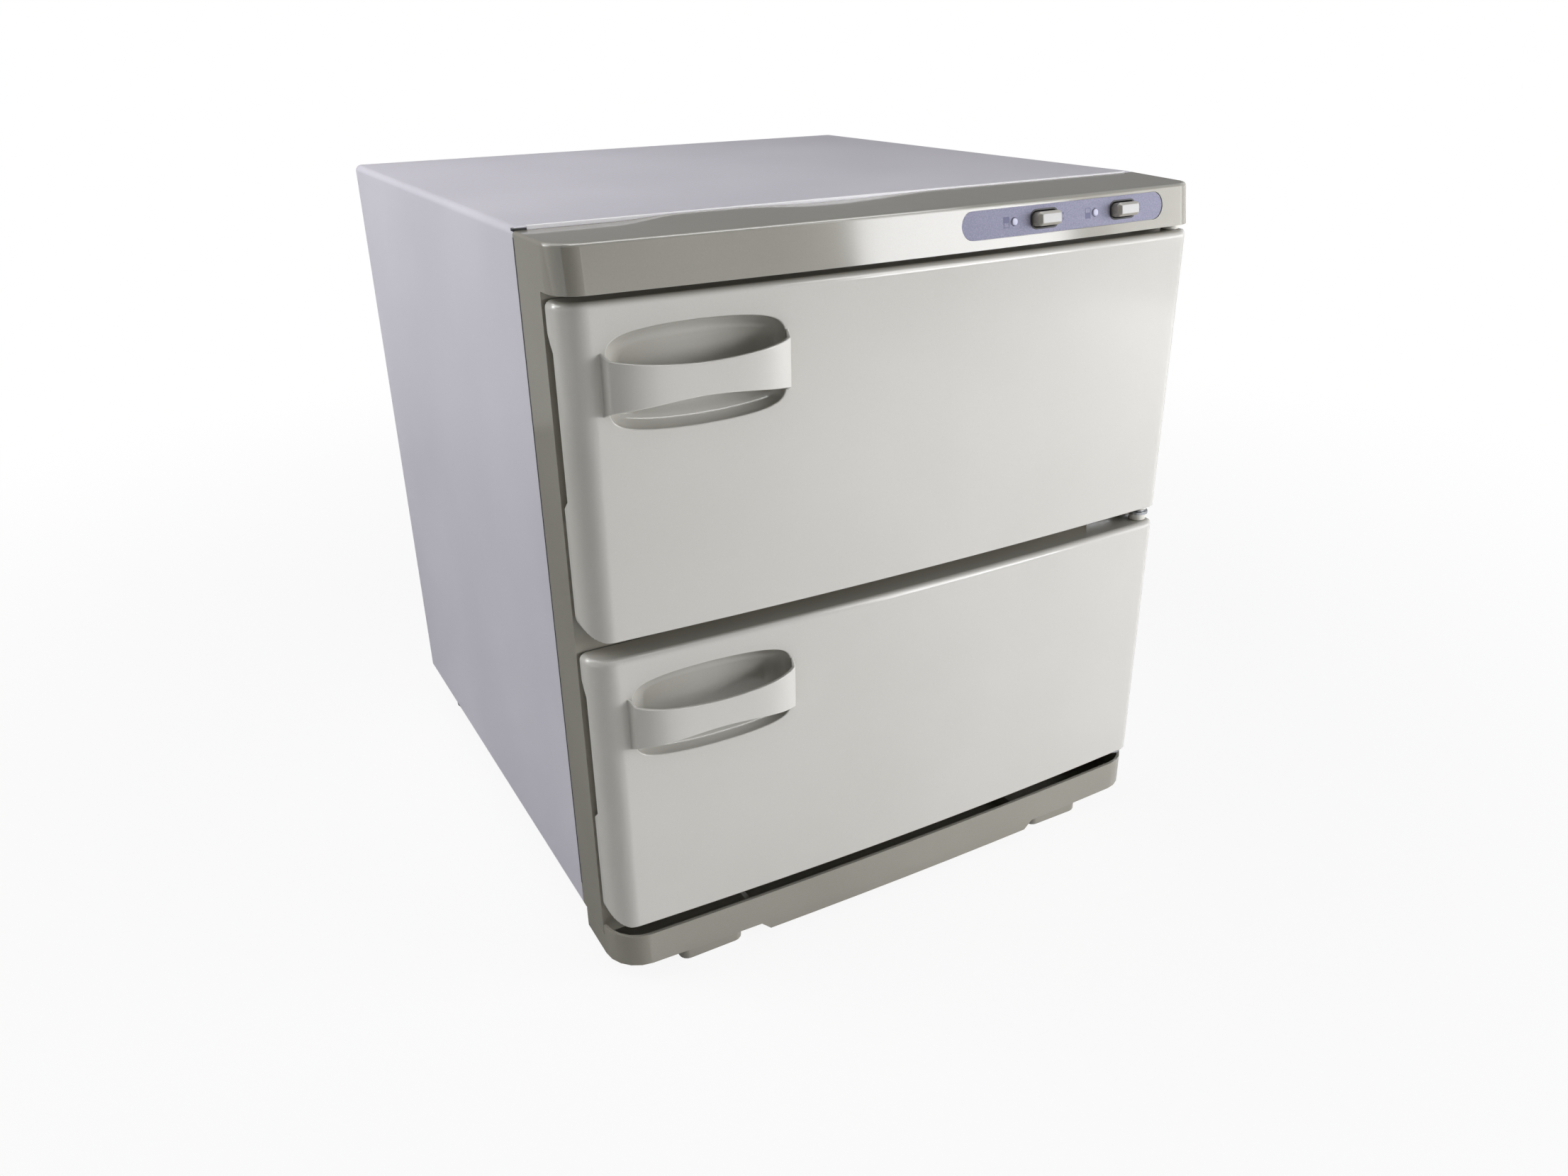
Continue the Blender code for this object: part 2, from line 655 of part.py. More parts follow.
def label_band(name, inset, low, high):
    """Round-ended band along the face, made of sections across it so that it follows the bow."""
    end = LABEL_HEIGHT / 2 - inset
    reach = LABEL_LENGTH / 2 - inset
    ends = []
    for step in range(1, ARC_STEPS + 2):
        turn = 0.5 * math.pi * (step - 0.6) / (ARC_STEPS + 0.4)
        ends.append((reach - end * (1 - math.cos(turn)), end * math.sin(turn)))
    straight = [(ends[-1][0] * (2 * step / BOW_STEPS - 1), end) for step in range(1, BOW_STEPS)]
    sections = [(-x, half) for x, half in ends] + straight + ends[::-1]
    rings = [
        [Vector((LABEL_CENTRE + x, LABEL_RISE + side * half, z)) for side, z in
         ((-1, low), (1, low), (1, high), (-1, high))]
        for x, half in sections
    ]
    return bent(loft(name, rings))


def control_cutters(low, high):
    """Openings for the caps and lamps, from one depth to another along the face's normal."""
    slot = cap_outline(CAP_SLOT)
    hole = circle(LAMP_DIAMETER / 2 + CLEARANCE, 16)
    cutters = []
    for x in SWITCH_CENTRES:
        cap_slot = loft("cap_slot", [at_z(slot, low), at_z(slot, high)])
        cutters.append(bent(moved(cap_slot, Matrix.Translation((x, LABEL_RISE, 0)))))
        lamp_hole = loft("lamp_hole", [at_z(hole, low), at_z(hole, high)])
        cutters.append(bent(moved(lamp_hole, Matrix.Translation((x - LAMP_AHEAD, LABEL_RISE, 0)))))
    return cutters


def control_label():
    back = -LABEL_RECESS + CLEARANCE / 2
    film = label_band("control_label", CLEARANCE, back, back + LABEL_FILM)
    for cutter in control_cutters(-LABEL_RECESS - CUT_OVERRUN, CUT_OVERRUN):
        cut(film, cutter)
    return film


def lamp_lens(name, x):
    radius = LAMP_DIAMETER / 2
    lens = turned(name, [
        (radius, -LAMP_BODY), (radius, 0), (radius * 0.85, LAMP_PROUD * 0.6), (radius * 0.4, LAMP_PROUD),
    ], steps=16)
    return bent(moved(lens, Matrix.Translation((x - LAMP_AHEAD, LABEL_RISE, 0))))


def cap_outline(grow):
    half_length, half_height = CAP_LENGTH / 2 + grow, CAP_HEIGHT / 2 + grow
    return rounded_outline(-half_length, half_length, -half_height, half_height, (CAP_CORNER + grow,) * 4, 3)


def switch_cap(name, x):
    cap = loft(name, [
        at_z(cap_outline(0), -FRAME_WALL - CAP_STEM), at_z(cap_outline(0), CAP_PROUD - CAP_CHAMFER),
        at_z(cap_outline(-CAP_CHAMFER * 0.35), CAP_PROUD - CAP_CHAMFER * 0.35),
        at_z(cap_outline(-CAP_CHAMFER), CAP_PROUD),
    ])
    return bent(cap, x)


def switch_body(name, x):
    bore = CLEARANCE * 2
    front = -FRAME_WALL - CLEARANCE
    floor = -FRAME_WALL - CAP_STEM - CAP_TRAVEL - CLEARANCE
    body = loft(name, [
        at_z(cap_outline(bore + SWITCH_BODY_WALL), floor - SWITCH_BODY_BLOCK),
        at_z(cap_outline(bore + SWITCH_BODY_WALL), front),
        at_z(cap_outline(bore), front), at_z(cap_outline(bore), floor),
    ])
    return bent(moved(body, Matrix.Translation((x, LABEL_RISE, 0))))


# Doors
def face_inset(radius, depth):
    """How far a rounded edge stands back from its side at a depth behind the face."""
    if depth >= radius:
        return 0.0
    return radius - math.sqrt(radius ** 2 - (radius - depth) ** 2)


def edge_levels(radius, steps):
    """Heights up a rounded edge, from its end to where it runs out."""
    return [radius * (1 - math.cos(0.5 * math.pi * step / steps)) for step in range(steps + 1)]


def door_block(door_bottom):
    """Plan outlines up the door: rounded latch edge and bullnose hinge edge, trimmed by the corners."""
    nose = DOOR_THICKNESS / 2
    levels = edge_levels(DOOR_BOTTOM_ROUND, 2) + edge_levels(DOOR_LOW_CORNER, 6)[2:]
    levels += [DOOR_HEIGHT - level for level in reversed(edge_levels(DOOR_TOP_ROUND, 4))]

    def ring(height):
        drop = DOOR_HEIGHT - height
        inset = max(face_inset(DOOR_TOP_ROUND, drop), face_inset(DOOR_BOTTOM_ROUND, height))
        latch = DOOR_LEFT + max(inset, face_inset(DOOR_LOW_CORNER, height))
        hinge = DOOR_RIGHT - face_inset(DOOR_HINGE_CORNER, min(height, drop))
        points = [(latch, DOOR_REAR)]
        for step in range(ARC_STEPS + 1):
            turn = math.pi * (1 + 0.5 * step / ARC_STEPS)
            radius = DOOR_LATCH_ROUND - inset
            x = DOOR_LEFT + DOOR_LATCH_ROUND + radius * math.cos(turn)
            points.append((max(x, latch), DOOR_FACE + DOOR_LATCH_ROUND + radius * math.sin(turn) - bow(x)))
        points += bowed_row(DOOR_LEFT + DOOR_LATCH_ROUND, HINGE_X, DOOR_FACE + inset)
        for step in range(2 * ARC_STEPS + 1):
            turn = 0.5 * math.pi * (step / ARC_STEPS - 1)
            reach, ahead = (nose - inset, bow(HINGE_X)) if step < ARC_STEPS else (nose, 0.0)
            x = min(HINGE_X + nose * math.cos(turn), hinge)
            points.append((x, HINGE_Y + (reach + ahead) * math.sin(turn)))
        return at_z(points, door_bottom + height)

    return [ring(height) for height in levels]


def handle_centre(door_bottom):
    return DOOR_LEFT + POCKET_FROM_LATCH, door_bottom + DOOR_HEIGHT - POCKET_FROM_TOP


def pocket(name, door_bottom, stations, steps):
    """Scooped recess: each station is a depth behind the face and how far its outline draws in."""
    cx, cz = handle_centre(door_bottom)
    rings = []
    for depth, draw in stations:
        outline = superellipse(POCKET_WIDTH / 2 - draw, POCKET_HEIGHT / 2 - draw, POCKET_POWER, steps)
        rings.append([Vector((cx + a, DOOR_FACE - bow(cx + a) + depth, cz + b)) for a, b in outline])
    return loft(name, rings)


def pocket_stations(wall):
    """Rounded rim, drafted sides and a dished floor, or the same form grown by a wall."""
    rim = [(POCKET_RIM * (1 - math.cos(turn)), -POCKET_RIM * (1 - math.sin(turn)))
           for turn in (0.5 * math.pi * step / 3 for step in range(4))]
    scoop = []
    for step in range(1, 5):
        turn = 0.5 * math.pi * step / 5
        scoop.append((
            POCKET_DEPTH * math.sin(turn) + wall, POCKET_DEPTH * (1 - math.cos(turn)) - wall,
        ))
    if wall:
        return [(POCKET_RIM, -wall)] + scoop
    return [(-CUT_OVERRUN, -POCKET_RIM)] + rim + scoop


def strap_line():
    """Outer line of the strap in plan: place, height of the band there and the line's outward normal."""
    cx, _ = handle_centre(0)
    reach = POCKET_WIDTH / 2 + CLEARANCE
    stations = 18
    line = []
    for station in range(-1, stations + 2):
        turn = math.pi * (1 - min(max(station, 0), stations) / stations)
        c, s = math.cos(turn), math.sin(turn)
        x = math.copysign(reach * abs(c) ** (2 / STRAP_POWER), c)
        out = STRAP_BOW * max(s, 0.0) ** (2 / STRAP_POWER)
        normal = Vector((
            abs(x / reach) ** (STRAP_POWER - 1) / reach * math.copysign(1, c),
            -abs(out / STRAP_BOW) ** (STRAP_POWER - 1) / STRAP_BOW,
        )).normalized()
        y = DOOR_FACE - bow(cx + x) - out
        if station < 0 or station > stations:
            y += STRAP_ROOT
        half = (STRAP_MIDDLE_HEIGHT + (STRAP_END_HEIGHT - STRAP_MIDDLE_HEIGHT) * abs(x / reach) ** 2.4) / 2
        line.append((cx + x, y, half, normal))
    return line


def strap(door_bottom):
    """Bowed band in plan, waisted in front view, with rounded edges; its ends root in the door wall."""
    _, cz = handle_centre(door_bottom)
    rings = []
    for x, y, half, normal in strap_line():
        section = rounded_outline(-STRAP_THICKNESS, 0, -half, half, (STRAP_ROUND,) * 4, 1)
        rings.append([Vector((x + normal.x * a, y + normal.y * a, cz + b)) for a, b in section])
    return loft("strap", rings)


STRAP_FRONT = min(y for _, y, _, _ in strap_line())
ORIGIN_SHIFT = Vector((0, -(STRAP_FRONT + GLAND_BACK) / 2, FOOT_HEIGHT))


def hollow_span(door_bottom):
    return (
        DOOR_LEFT + DOOR_LATCH_BLOCK, HINGE_X - DOOR_HINGE_BLOCK,
        door_bottom + DOOR_WALL, door_bottom + DOOR_HEIGHT - DOOR_WALL,
    )


def bowed_slab(name, x0, x1, z0, z1, depth):
    """The bowed part of a door's inside, at a depth behind its face, between upright and level corners."""
    x0, x1, z0, z1 = x0 + DOOR_CORNER, x1 - DOOR_CORNER, z0 + DOOR_CORNER, z1 - DOOR_CORNER
    y = DOOR_FACE + depth
    plan = [(x0, y), *bowed_row(x0, x1, y), (x1, y), (x1, y + CUT_OVERRUN), (x0, y + CUT_OVERRUN)]
    return loft(name, [at_z(plan, z0), at_z(plan, z1)])


def door_shell(name, door_bottom):
    shell = loft(name, door_block(door_bottom))
    x0, x1, z0, z1 = hollow_span(door_bottom)
    span = rounded_outline(x0, x1, z0, z1, (DOOR_CORNER,) * 4, 3)
    hollow = loft("door_hollow", [at_y(span, DOOR_FACE + DOOR_WALL), at_y(span, DOOR_REAR + CUT_OVERRUN)])
    join(hollow, bowed_slab("bowed_hollow", x0, x1, z0, z1, DOOR_WALL))
    cut(hollow, pocket("pocket_wall", door_bottom, pocket_stations(POCKET_WALL), 20))
    cut(shell, hollow)
    cut(shell, pocket("pocket", door_bottom, pocket_stations(0), 36))
    join(shell, strap(door_bottom))
    top = door_bottom + DOOR_HEIGHT - NOTCH_FROM_TOP
    low = top - NOTCH_LENGTH
    relief = [
        (DOOR_REAR + CUT_OVERRUN, low - CUT_OVERRUN), (DOOR_REAR - NOTCH_DEPTH, low + NOTCH_DEPTH),
        (DOOR_REAR - NOTCH_DEPTH, top - NOTCH_DEPTH * 2), (DOOR_REAR + CUT_OVERRUN, top + CUT_OVERRUN),
    ]
    cut(shell, loft("finger_notch", [
        at_x(relief, DOOR_LEFT - CUT_OVERRUN), at_x(relief, DOOR_LEFT + NOTCH_REACH),
    ]))
    socket = BUSH_DIAMETER / 2 + CLEARANCE
    deep = BUSH_LENGTH + CLEARANCE
    for z0, z1 in ((-CUT_OVERRUN, deep), (DOOR_HEIGHT - deep, DOOR_HEIGHT + CUT_OVERRUN)):
        hole = turned("bush_socket", [(socket, z0), (socket, z1)], steps=PIN_STEPS)
        cut(shell, moved(hole, hinge_axis(door_bottom)))
    return shell


def door_liner(name, door_bottom):
    """Lining panel pressed into a drafted plug that stands into the chamber's mouth."""
    x0, x1, z0, z1 = hollow_span(door_bottom)
    seat = CLEARANCE

    def plate(y):
        outline = rounded_outline(x0 + seat, x1 - seat, z0 + seat, z1 - seat, (DOOR_CORNER - seat,) * 4, 4)
        return at_y(outline, y)

    def plug(draft, y):
        return at_y(chamber_outline(door_bottom, -DOOR_PLUG_MARGIN - draft, OPENING_CORNER), y)

    wall = DOOR_LINER_PLATE
    rear = DOOR_REAR + DOOR_PLUG_DEPTH
    return loft(name, [
        plug(wall + DOOR_PLUG_DRAFT, rear - wall), plug(wall, DOOR_REAR - wall),
        plate(DOOR_REAR - wall), plate(DOOR_REAR), plug(0, DOOR_REAR),
        plug(DOOR_PLUG_DRAFT * 0.5, rear - DOOR_PLUG_DRAFT * 0.3), plug(DOOR_PLUG_DRAFT, rear),
    ])


def door_foam(name, door_bottom):
    """Foam core between the door's face and its lining, from the handle pocket to the hinge block."""
    _, x1, z0, z1 = hollow_span(door_bottom)
    x0 = handle_centre(door_bottom)[0] + POCKET_WIDTH / 2 + POCKET_WALL + FOAM_FROM_POCKET
    seat = CLEARANCE
    outline = rounded_outline(x0, x1 - seat, z0 + seat, z1 - seat, (DOOR_CORNER - seat,) * 4, 2)
    front = DOOR_FACE + DOOR_WALL + seat
    foam = loft(name, [at_y(outline, front), at_y(outline, DOOR_REAR - DOOR_LINER_PLATE - seat)])
    join(foam, bowed_slab("bowed_foam", x0, x1 - seat, z0 + seat, z1 - seat, DOOR_WALL + 2 * seat))
    return foam


def door_gasket(name, door_bottom):
    front, back = DOOR_REAR + CLEARANCE, FRAME_FRONT - CLEARANCE
    inner, outer = GASKET_MARGIN, GASKET_MARGIN + GASKET_WIDTH
    bead = GASKET_WIDTH / 4

    def line(grow, y):
        return at_y(chamber_outline(door_bottom, grow, OPENING_CORNER + grow), y)

    return loft(name, [
        line(inner, front), line(inner, back - bead / 2), line(inner + bead, back), line(outer - bead, back),
        line(outer, back - bead / 2), line(outer, front),
    ], hoop=True)


def strike_plate(name, door_bottom):
    x0, x1, z0, z1 = catch_span(door_bottom, STRIKE_MARGIN)
    outline = rounded_outline(x0, x1, z0, z1, (STRIKE_MARGIN,) * 4, 3)
    front = DOOR_REAR + CLEARANCE
    return loft(name, [at_y(outline, front), at_y(outline, front + STRIKE_PLATE)])


def catch_magnet(name, door_bottom):
    x0, x1, z0, z1 = catch_span(door_bottom)
    outline = rounded_outline(x0, x1, z0, z1, (CATCH_WIDTH / 8,) * 4, 2)
    return loft(name, [
        at_y(outline, FRAME_FRONT - CATCH_PROUD), at_y(outline, FRAME_FRONT - CATCH_PROUD + CATCH_DEPTH),
    ])


# Hinges: pins on brackets, with flanged bushes in the doors' ends
def hinge_axis(height):
    return Matrix.Translation((HINGE_X, HINGE_Y, height))


def door_bush(name, door_edge, up, flange):
    """Flanged bush whose sleeve stands in the door's edge; up is the flange's side of that edge."""
    bore, sleeve = PIN_DIAMETER / 2 + PIN_FIT, BUSH_DIAMETER / 2
    rim = BUSH_FLANGE_DIAMETER / 2
    profile = [
        (bore, -BUSH_LENGTH), (sleeve, -BUSH_LENGTH), (sleeve, CLEARANCE), (rim, CLEARANCE),
        (rim, CLEARANCE + flange), (bore, CLEARANCE + flange),
    ]
    bush = turned(name, [(radius, up * height) for radius, height in profile], hoop=True, steps=PIN_STEPS)
    return moved(bush, hinge_axis(door_edge))


def bracket(name, arm_low, arm_high, leaf_low, leaf_high):
    """Upright leaf on the frame and an arm whose round nose carries the pin."""
    nose = BRACKET_NOSE_RADIUS
    back = FRAME_FRONT - CLEARANCE
    arm = [(nose, back - HINGE_Y), (-nose, back - HINGE_Y)]
    for step in range(9):
        turn = math.pi * (1 + step / 8)
        arm.append((nose * math.cos(turn), nose * math.sin(turn)))
    plate = moved(loft(name, [at_z(arm, arm_low), at_z(arm, arm_high)]), hinge_axis(0))
    right = HINGE_X + nose - CLEARANCE
    left = right - BRACKET_LEAF_LENGTH
    join(plate, box("leaf", left, right, back - BRACKET_LEAF, back - CLEARANCE / 3, leaf_low, leaf_high))
    bore = PIN_DIAMETER / 2 + PIN_FIT
    levels = (arm_low - CUT_OVERRUN, arm_high + CUT_OVERRUN)
    hole = turned("pin_hole", [(bore, level) for level in levels], steps=PIN_STEPS)
    cut(plate, moved(hole, hinge_axis(0)))
    return plate


def hinge_pin(name, foot, tip, head):
    """Pin from foot to tip, with a head past its foot when one is asked for."""
    up = math.copysign(1, tip - foot)
    radius, tip_round = PIN_DIAMETER / 2, PIN_DIAMETER / 8
    profile = [(radius, foot), (radius, tip - up * tip_round), (radius - tip_round, tip)]
    if head:
        rim = PIN_HEAD_DIAMETER / 2
        profile = [(rim, foot - up * PIN_HEAD), (rim, foot)] + profile
    else:
        profile = [(radius - tip_round, foot), (radius, foot + up * tip_round)] + profile[1:]
    return moved(turned(name, profile, steps=PIN_STEPS), hinge_axis(0))


def middle_levels():
    """Arm of the middle bracket, and the flanges above and below it in the gap between the doors."""
    upper_edge, lower_edge = UPPER_DOOR, LOWER_DOOR + DOOR_HEIGHT
    arm_middle = (upper_edge + lower_edge) / 2
    arm_low, arm_high = arm_middle - BRACKET_PLATE / 2, arm_middle + BRACKET_PLATE / 2
    washer_low = arm_high + CLEARANCE
    upper_flange = upper_edge - CLEARANCE - (washer_low + WASHER + CLEARANCE)
    lower_flange = arm_low - CLEARANCE - (lower_edge + CLEARANCE)
    return arm_low, arm_high, washer_low, upper_flange, lower_flange


def hinge_hardware(cabinet):
    arm_low, arm_high, washer_low, _, _ = middle_levels()
    low_edge, high_edge = LOWER_DOOR + DOOR_HEIGHT, UPPER_DOOR
    reach = BUSH_LENGTH - CLEARANCE
    margin = BRACKET_LEAF_MARGIN
    middle = bracket("hinge_bracket_middle", arm_low, arm_high, low_edge + margin, high_edge - margin)
    piece(middle, "plain_steel", cabinet)
    piece(hinge_pin("hinge_pin_middle", low_edge - reach, high_edge + reach, False), "plain_steel", cabinet)
    bore, rim = PIN_DIAMETER / 2 + PIN_FIT, BUSH_FLANGE_DIAMETER / 2
    washer_high = washer_low + WASHER
    washer = turned("hinge_washer_middle", [
        (bore, washer_low), (rim, washer_low), (rim, washer_high), (bore, washer_high),
    ], hoop=True, steps=PIN_STEPS)
    piece(moved(washer, hinge_axis(0)), "plain_steel", cabinet)
    arm_high = LOWER_DOOR - 2 * CLEARANCE - BOTTOM_BUSH_FLANGE
    arm_low = arm_high - BRACKET_PLATE
    piece(bracket("hinge_bracket_bottom", arm_low, arm_high, margin, arm_high), "plain_steel", cabinet)
    foot = arm_low - CLEARANCE
    piece(hinge_pin("hinge_pin_bottom", foot, LOWER_DOOR + reach, True), "plain_steel", cabinet)
    soffit = HEADER_BOTTOM + FRAME_WALL + CLEARANCE
    door_top = UPPER_DOOR + DOOR_HEIGHT
    piece(hinge_pin("hinge_pin_top", soffit, door_top - reach, True), "plain_steel", cabinet)


# Heated chambers
def chamber_liner(name, door_bottom):
    """Open-fronted aluminium box with a flange behind the frame's front wall."""
    sheet = LINER_SHEET
    corner = OPENING_CORNER

    def ring(grow, y):
        return at_y(chamber_outline(door_bottom, grow, corner + grow), y)

    flange_back = LINER_FRONT + sheet
    return loft(name, [
        ring(sheet, LINER_BACK), ring(sheet, flange_back), ring(LINER_FLANGE, flange_back),
        ring(LINER_FLANGE, LINER_FRONT), ring(0, LINER_FRONT), ring(0, LINER_BACK - sheet),
    ])


def sensor_places(door_bottom):
    middle = door_bottom + DOOR_HEIGHT / 2
    return (-SENSOR_SPACING / 2, middle), (SENSOR_SPACING / 2, middle)


def insulation(name, door_bottom):
    """Glass-wool jacket round a chamber, let down below it for the heating element."""
    drop = HEATER_DIAMETER + CLEARANCE
    snug = LINER_SHEET + CLEARANCE

    def ring(grow, y):
        low = door_bottom + OPENING_OVERLAP - grow - drop
        high = door_bottom + DOOR_HEIGHT - OPENING_OVERLAP + grow
        corners = (OPENING_CORNER + grow,) * 4
        return at_y(rounded_outline(-OPENING_HALF - grow, OPENING_HALF + grow, low, high, corners, 3), y)

    front = LINER_FRONT + LINER_SHEET + CLEARANCE
    back = LINER_BACK + CLEARANCE
    thick = snug + INSULATION
    outer = [ring(thick, back + INSULATION), ring(thick, front)]
    jacket = loft(name, outer + [ring(snug, front), ring(snug, back)])
    middle = door_bottom + DOOR_HEIGHT / 2
    side = SENSOR_SPACING / 2 + THERMOSTAT_DIAMETER / 2 + SENSOR_WINDOW
    height = max(THERMOSTAT_DIAMETER, FUSE_LENGTH) / 2 + SENSOR_WINDOW
    cut(jacket, box(
        "sensor_window", -side, side, back - CUT_OVERRUN, back + INSULATION + CUT_OVERRUN,
        middle - height, middle + height,
    ))
    return jacket


def heater(name, door_bottom):
    """Sheathed element bent to and fro under the chamber floor."""
    z = door_bottom + OPENING_OVERLAP - LINER_SHEET - CLEARANCE - HEATER_DIAMETER / 2
    half = OPENING_HALF - HEATER_MARGIN
    front, back = LINER_FRONT + HEATER_MARGIN, LINER_BACK - HEATER_MARGIN
    pitch = (back - front) / (HEATER_PASSES - 1)
    bend = pitch / 2
    points = []
    for row in range(HEATER_PASSES):
        side = 1 if row % 2 == 0 else -1
        y = front + row * pitch
        points.append((-side * (half - bend), y, z))
        if row == HEATER_PASSES - 1:
            points.append((side * half, y, z))
            break
        for step in range(ARC_STEPS):
            turn = math.pi * (step / ARC_STEPS - 0.5)
            points.append((
                side * (half - bend + bend * math.cos(turn)), y + bend + bend * math.sin(turn), z,
            ))
    return tube(name, points, HEATER_DIAMETER)


def thermostat(name, door_bottom):
    (x, z), _ = sensor_places(door_bottom)
    radius, height = THERMOSTAT_DIAMETER / 2, THERMOSTAT_HEIGHT
    disc = turned(name, [
        (radius * 0.6, 0), (radius, height * 0.15), (radius, height * 0.45), (radius * 0.8, height * 0.45),
        (radius * 0.8, height),
    ], steps=16)
    face_back = Matrix.Rotation(-math.pi / 2, 4, "X")
    return moved(disc, Matrix.Translation((x, LINER_BACK + CLEARANCE, z)) @ face_back)


def thermal_fuse(name, door_bottom):
    _, (x, z) = sensor_places(door_bottom)
    radius, half = FUSE_DIAMETER / 2, FUSE_LENGTH / 2
    body = turned(name, [
        (radius * 0.6, -half), (radius, -half * 0.8), (radius, half * 0.8), (radius * 0.6, half),
    ], steps=12)
    return moved(body, Matrix.Translation((x, LINER_BACK + CLEARANCE + radius, z)))


def towel_rack(name, door_bottom):
    """Welded wire rack: bearers on the chamber floor and wires running front to back over them."""
    half = OPENING_HALF - RACK_MARGIN
    front, back = LINER_FRONT + RACK_MARGIN * 3, LINER_BACK - LINER_SHEET - RACK_MARGIN
    floor = door_bottom + OPENING_OVERLAP + CLEARANCE
    bearer_height = floor + RACK_BEARER / 2
    wire_height = floor + RACK_BEARER + RACK_WIRE / 2 - RACK_WELD
    wire = circle(RACK_WIRE / 2, 6)
    bearer = circle(RACK_BEARER / 2, 6)
    inset = RACK_BEARER * 5
    bars = []
    for row in range(RACK_BEARERS):
        y = front + inset + (back - front - 2 * inset) * row / (RACK_BEARERS - 1)
        section = [(y + a, bearer_height + b) for a, b in bearer]
        bars.append(loft(name, [at_x(section, -half), at_x(section, half)]))
    for column in range(RACK_WIRES):
        x = (half - RACK_BEARER) * (2 * column / (RACK_WIRES - 1) - 1)
        section = [(x + a, wire_height + b) for a, b in wire]
        bars.append(loft("wire", [at_y(section, front), at_y(section, back)]))
    rack = bars[0]
    for bar in bars[1:]:
        join(rack, bar)
    return rack


# Drip tray and feet
def tray_section(inset, top):
    """Front view of the tray with its lower middle, drawn in by a wall."""
    half = HALF_WIDTH - inset
    floor = -TRAY_DROP + inset
    sump = floor - TRAY_SUMP
    foot = TRAY_SUMP_HALF - inset / 2
    knee = foot + TRAY_SUMP_SLOPE
    floor_line = [(-half, floor), (-knee, floor), (-foot, sump), (foot, sump), (knee, floor), (half, floor)]
    return floor_line + [(half, top), (-half, top)]


def tray_form(name, inset, top):
    front, back = TRAY_FRONT + inset, -TRAY_REAR_SETBACK - inset
    section = tray_section(inset, top)
    form = loft(name, [at_y(section, front - TRAY_BOW - CUT_OVERRUN), at_y(section, back)])
    half = HALF_WIDTH - inset
    plan = bowed_outline(half, front, back + CUT_OVERRUN, TRAY_CORNER - inset, TRAY_BOW)
    keep(form, loft("tray_plan", [at_z(plan, -FOOT_HEIGHT), at_z(plan, top + CUT_OVERRUN)]))
    return form


def drip_tray():
    tray = tray_form("drip_tray", 0, TRAY_LIP)
    cut(tray, tray_form("tray_hollow", TRAY_WALL, TRAY_LIP + CUT_OVERRUN))
    side = HALF_WIDTH + CUT_OVERRUN
    front = FRAME_FRONT - DOOR_STANDOFF / 2
    top = TRAY_LIP + CUT_OVERRUN
    cut(tray, box("under_frame", -side, side, front, CUT_OVERRUN, -TRAY_HEADROOM, top))
    return tray


FOOT_FRONT = TRAY_FRONT - bow(FOOT_CENTRE, TRAY_BOW) + FOOT_SETBACK


def front_foot(name, x):
    """Pad under the tray with a post behind it that bolts to the base plate."""
    front = FOOT_FRONT
    back = FRAME_LIP + CUT_OVERRUN + CLEARANCE + FOOT_POST
    half = FOOT_WIDTH / 2
    pad_top = -TRAY_DROP - CLEARANCE

    def pad(edge, z):
        corners = (FOOT_CORNER, FOOT_CORNER, FOOT_EDGE * 2, FOOT_EDGE * 2)
        left, right = x - half + edge, x + half - edge
        return at_z(rounded_outline(left, right, front + edge, back - edge, corners, 4), z)

    def post(z):
        inset = FOOT_POST_INSET
        outline = rounded_outline(
            x - half + inset, x + half - inset, back - FOOT_POST, back - inset, (FOOT_EDGE,) * 4, 4,
        )
        return at_z(outline, z)

    return loft(name, [
        pad(FOOT_EDGE, -FOOT_HEIGHT), pad(FOOT_EDGE * 0.3, -FOOT_HEIGHT + FOOT_EDGE * 0.3),
        pad(0, -FOOT_HEIGHT + FOOT_EDGE), pad(0, pad_top), post(pad_top), post(BASE_BOTTOM - CLEARANCE),
    ])


def rear_foot(name, x):
    radius = REAR_FOOT_DIAMETER / 2
    low = radius - REAR_FOOT_TAPER
    y = SHELL_DEPTH - REAR_FOOT_FROM_BACK
    foot = turned(name, [
        (low - FOOT_EDGE, -FOOT_HEIGHT), (low, -FOOT_HEIGHT + FOOT_EDGE), (radius, -CLEARANCE - FOOT_EDGE),
        (radius - FOOT_EDGE, -CLEARANCE),
    ])
    return moved(foot, Matrix.Translation((x, y, 0)))


# Wiring
def terminal_block():
    """Barrier strip: a base with upright ribs between its ways."""
    low = BASE_TOP + CLEARANCE
    middle = SHELL_DEPTH - TERMINAL_FROM_BACK
    y0, y1 = middle - TERMINAL_WIDTH / 2, middle + TERMINAL_WIDTH / 2
    rib = TERMINAL_LENGTH / (TERMINAL_WAYS * 6)
    pitch = (TERMINAL_LENGTH - rib) / TERMINAL_WAYS
    start = GLAND_X - TERMINAL_LENGTH / 2
    profile = [(start, low), (start + TERMINAL_LENGTH, low)]
    for way in range(TERMINAL_WAYS, -1, -1):
        left = start + way * pitch
        profile += [(left + rib, low + TERMINAL_HEIGHT), (left, low + TERMINAL_HEIGHT)]
        if way:
            profile += [(left, low + TERMINAL_HEIGHT / 2), (left - pitch + rib, low + TERMINAL_HEIGHT / 2)]
    return loft("terminal_block", [at_y(profile, y0), at_y(profile, y1)])


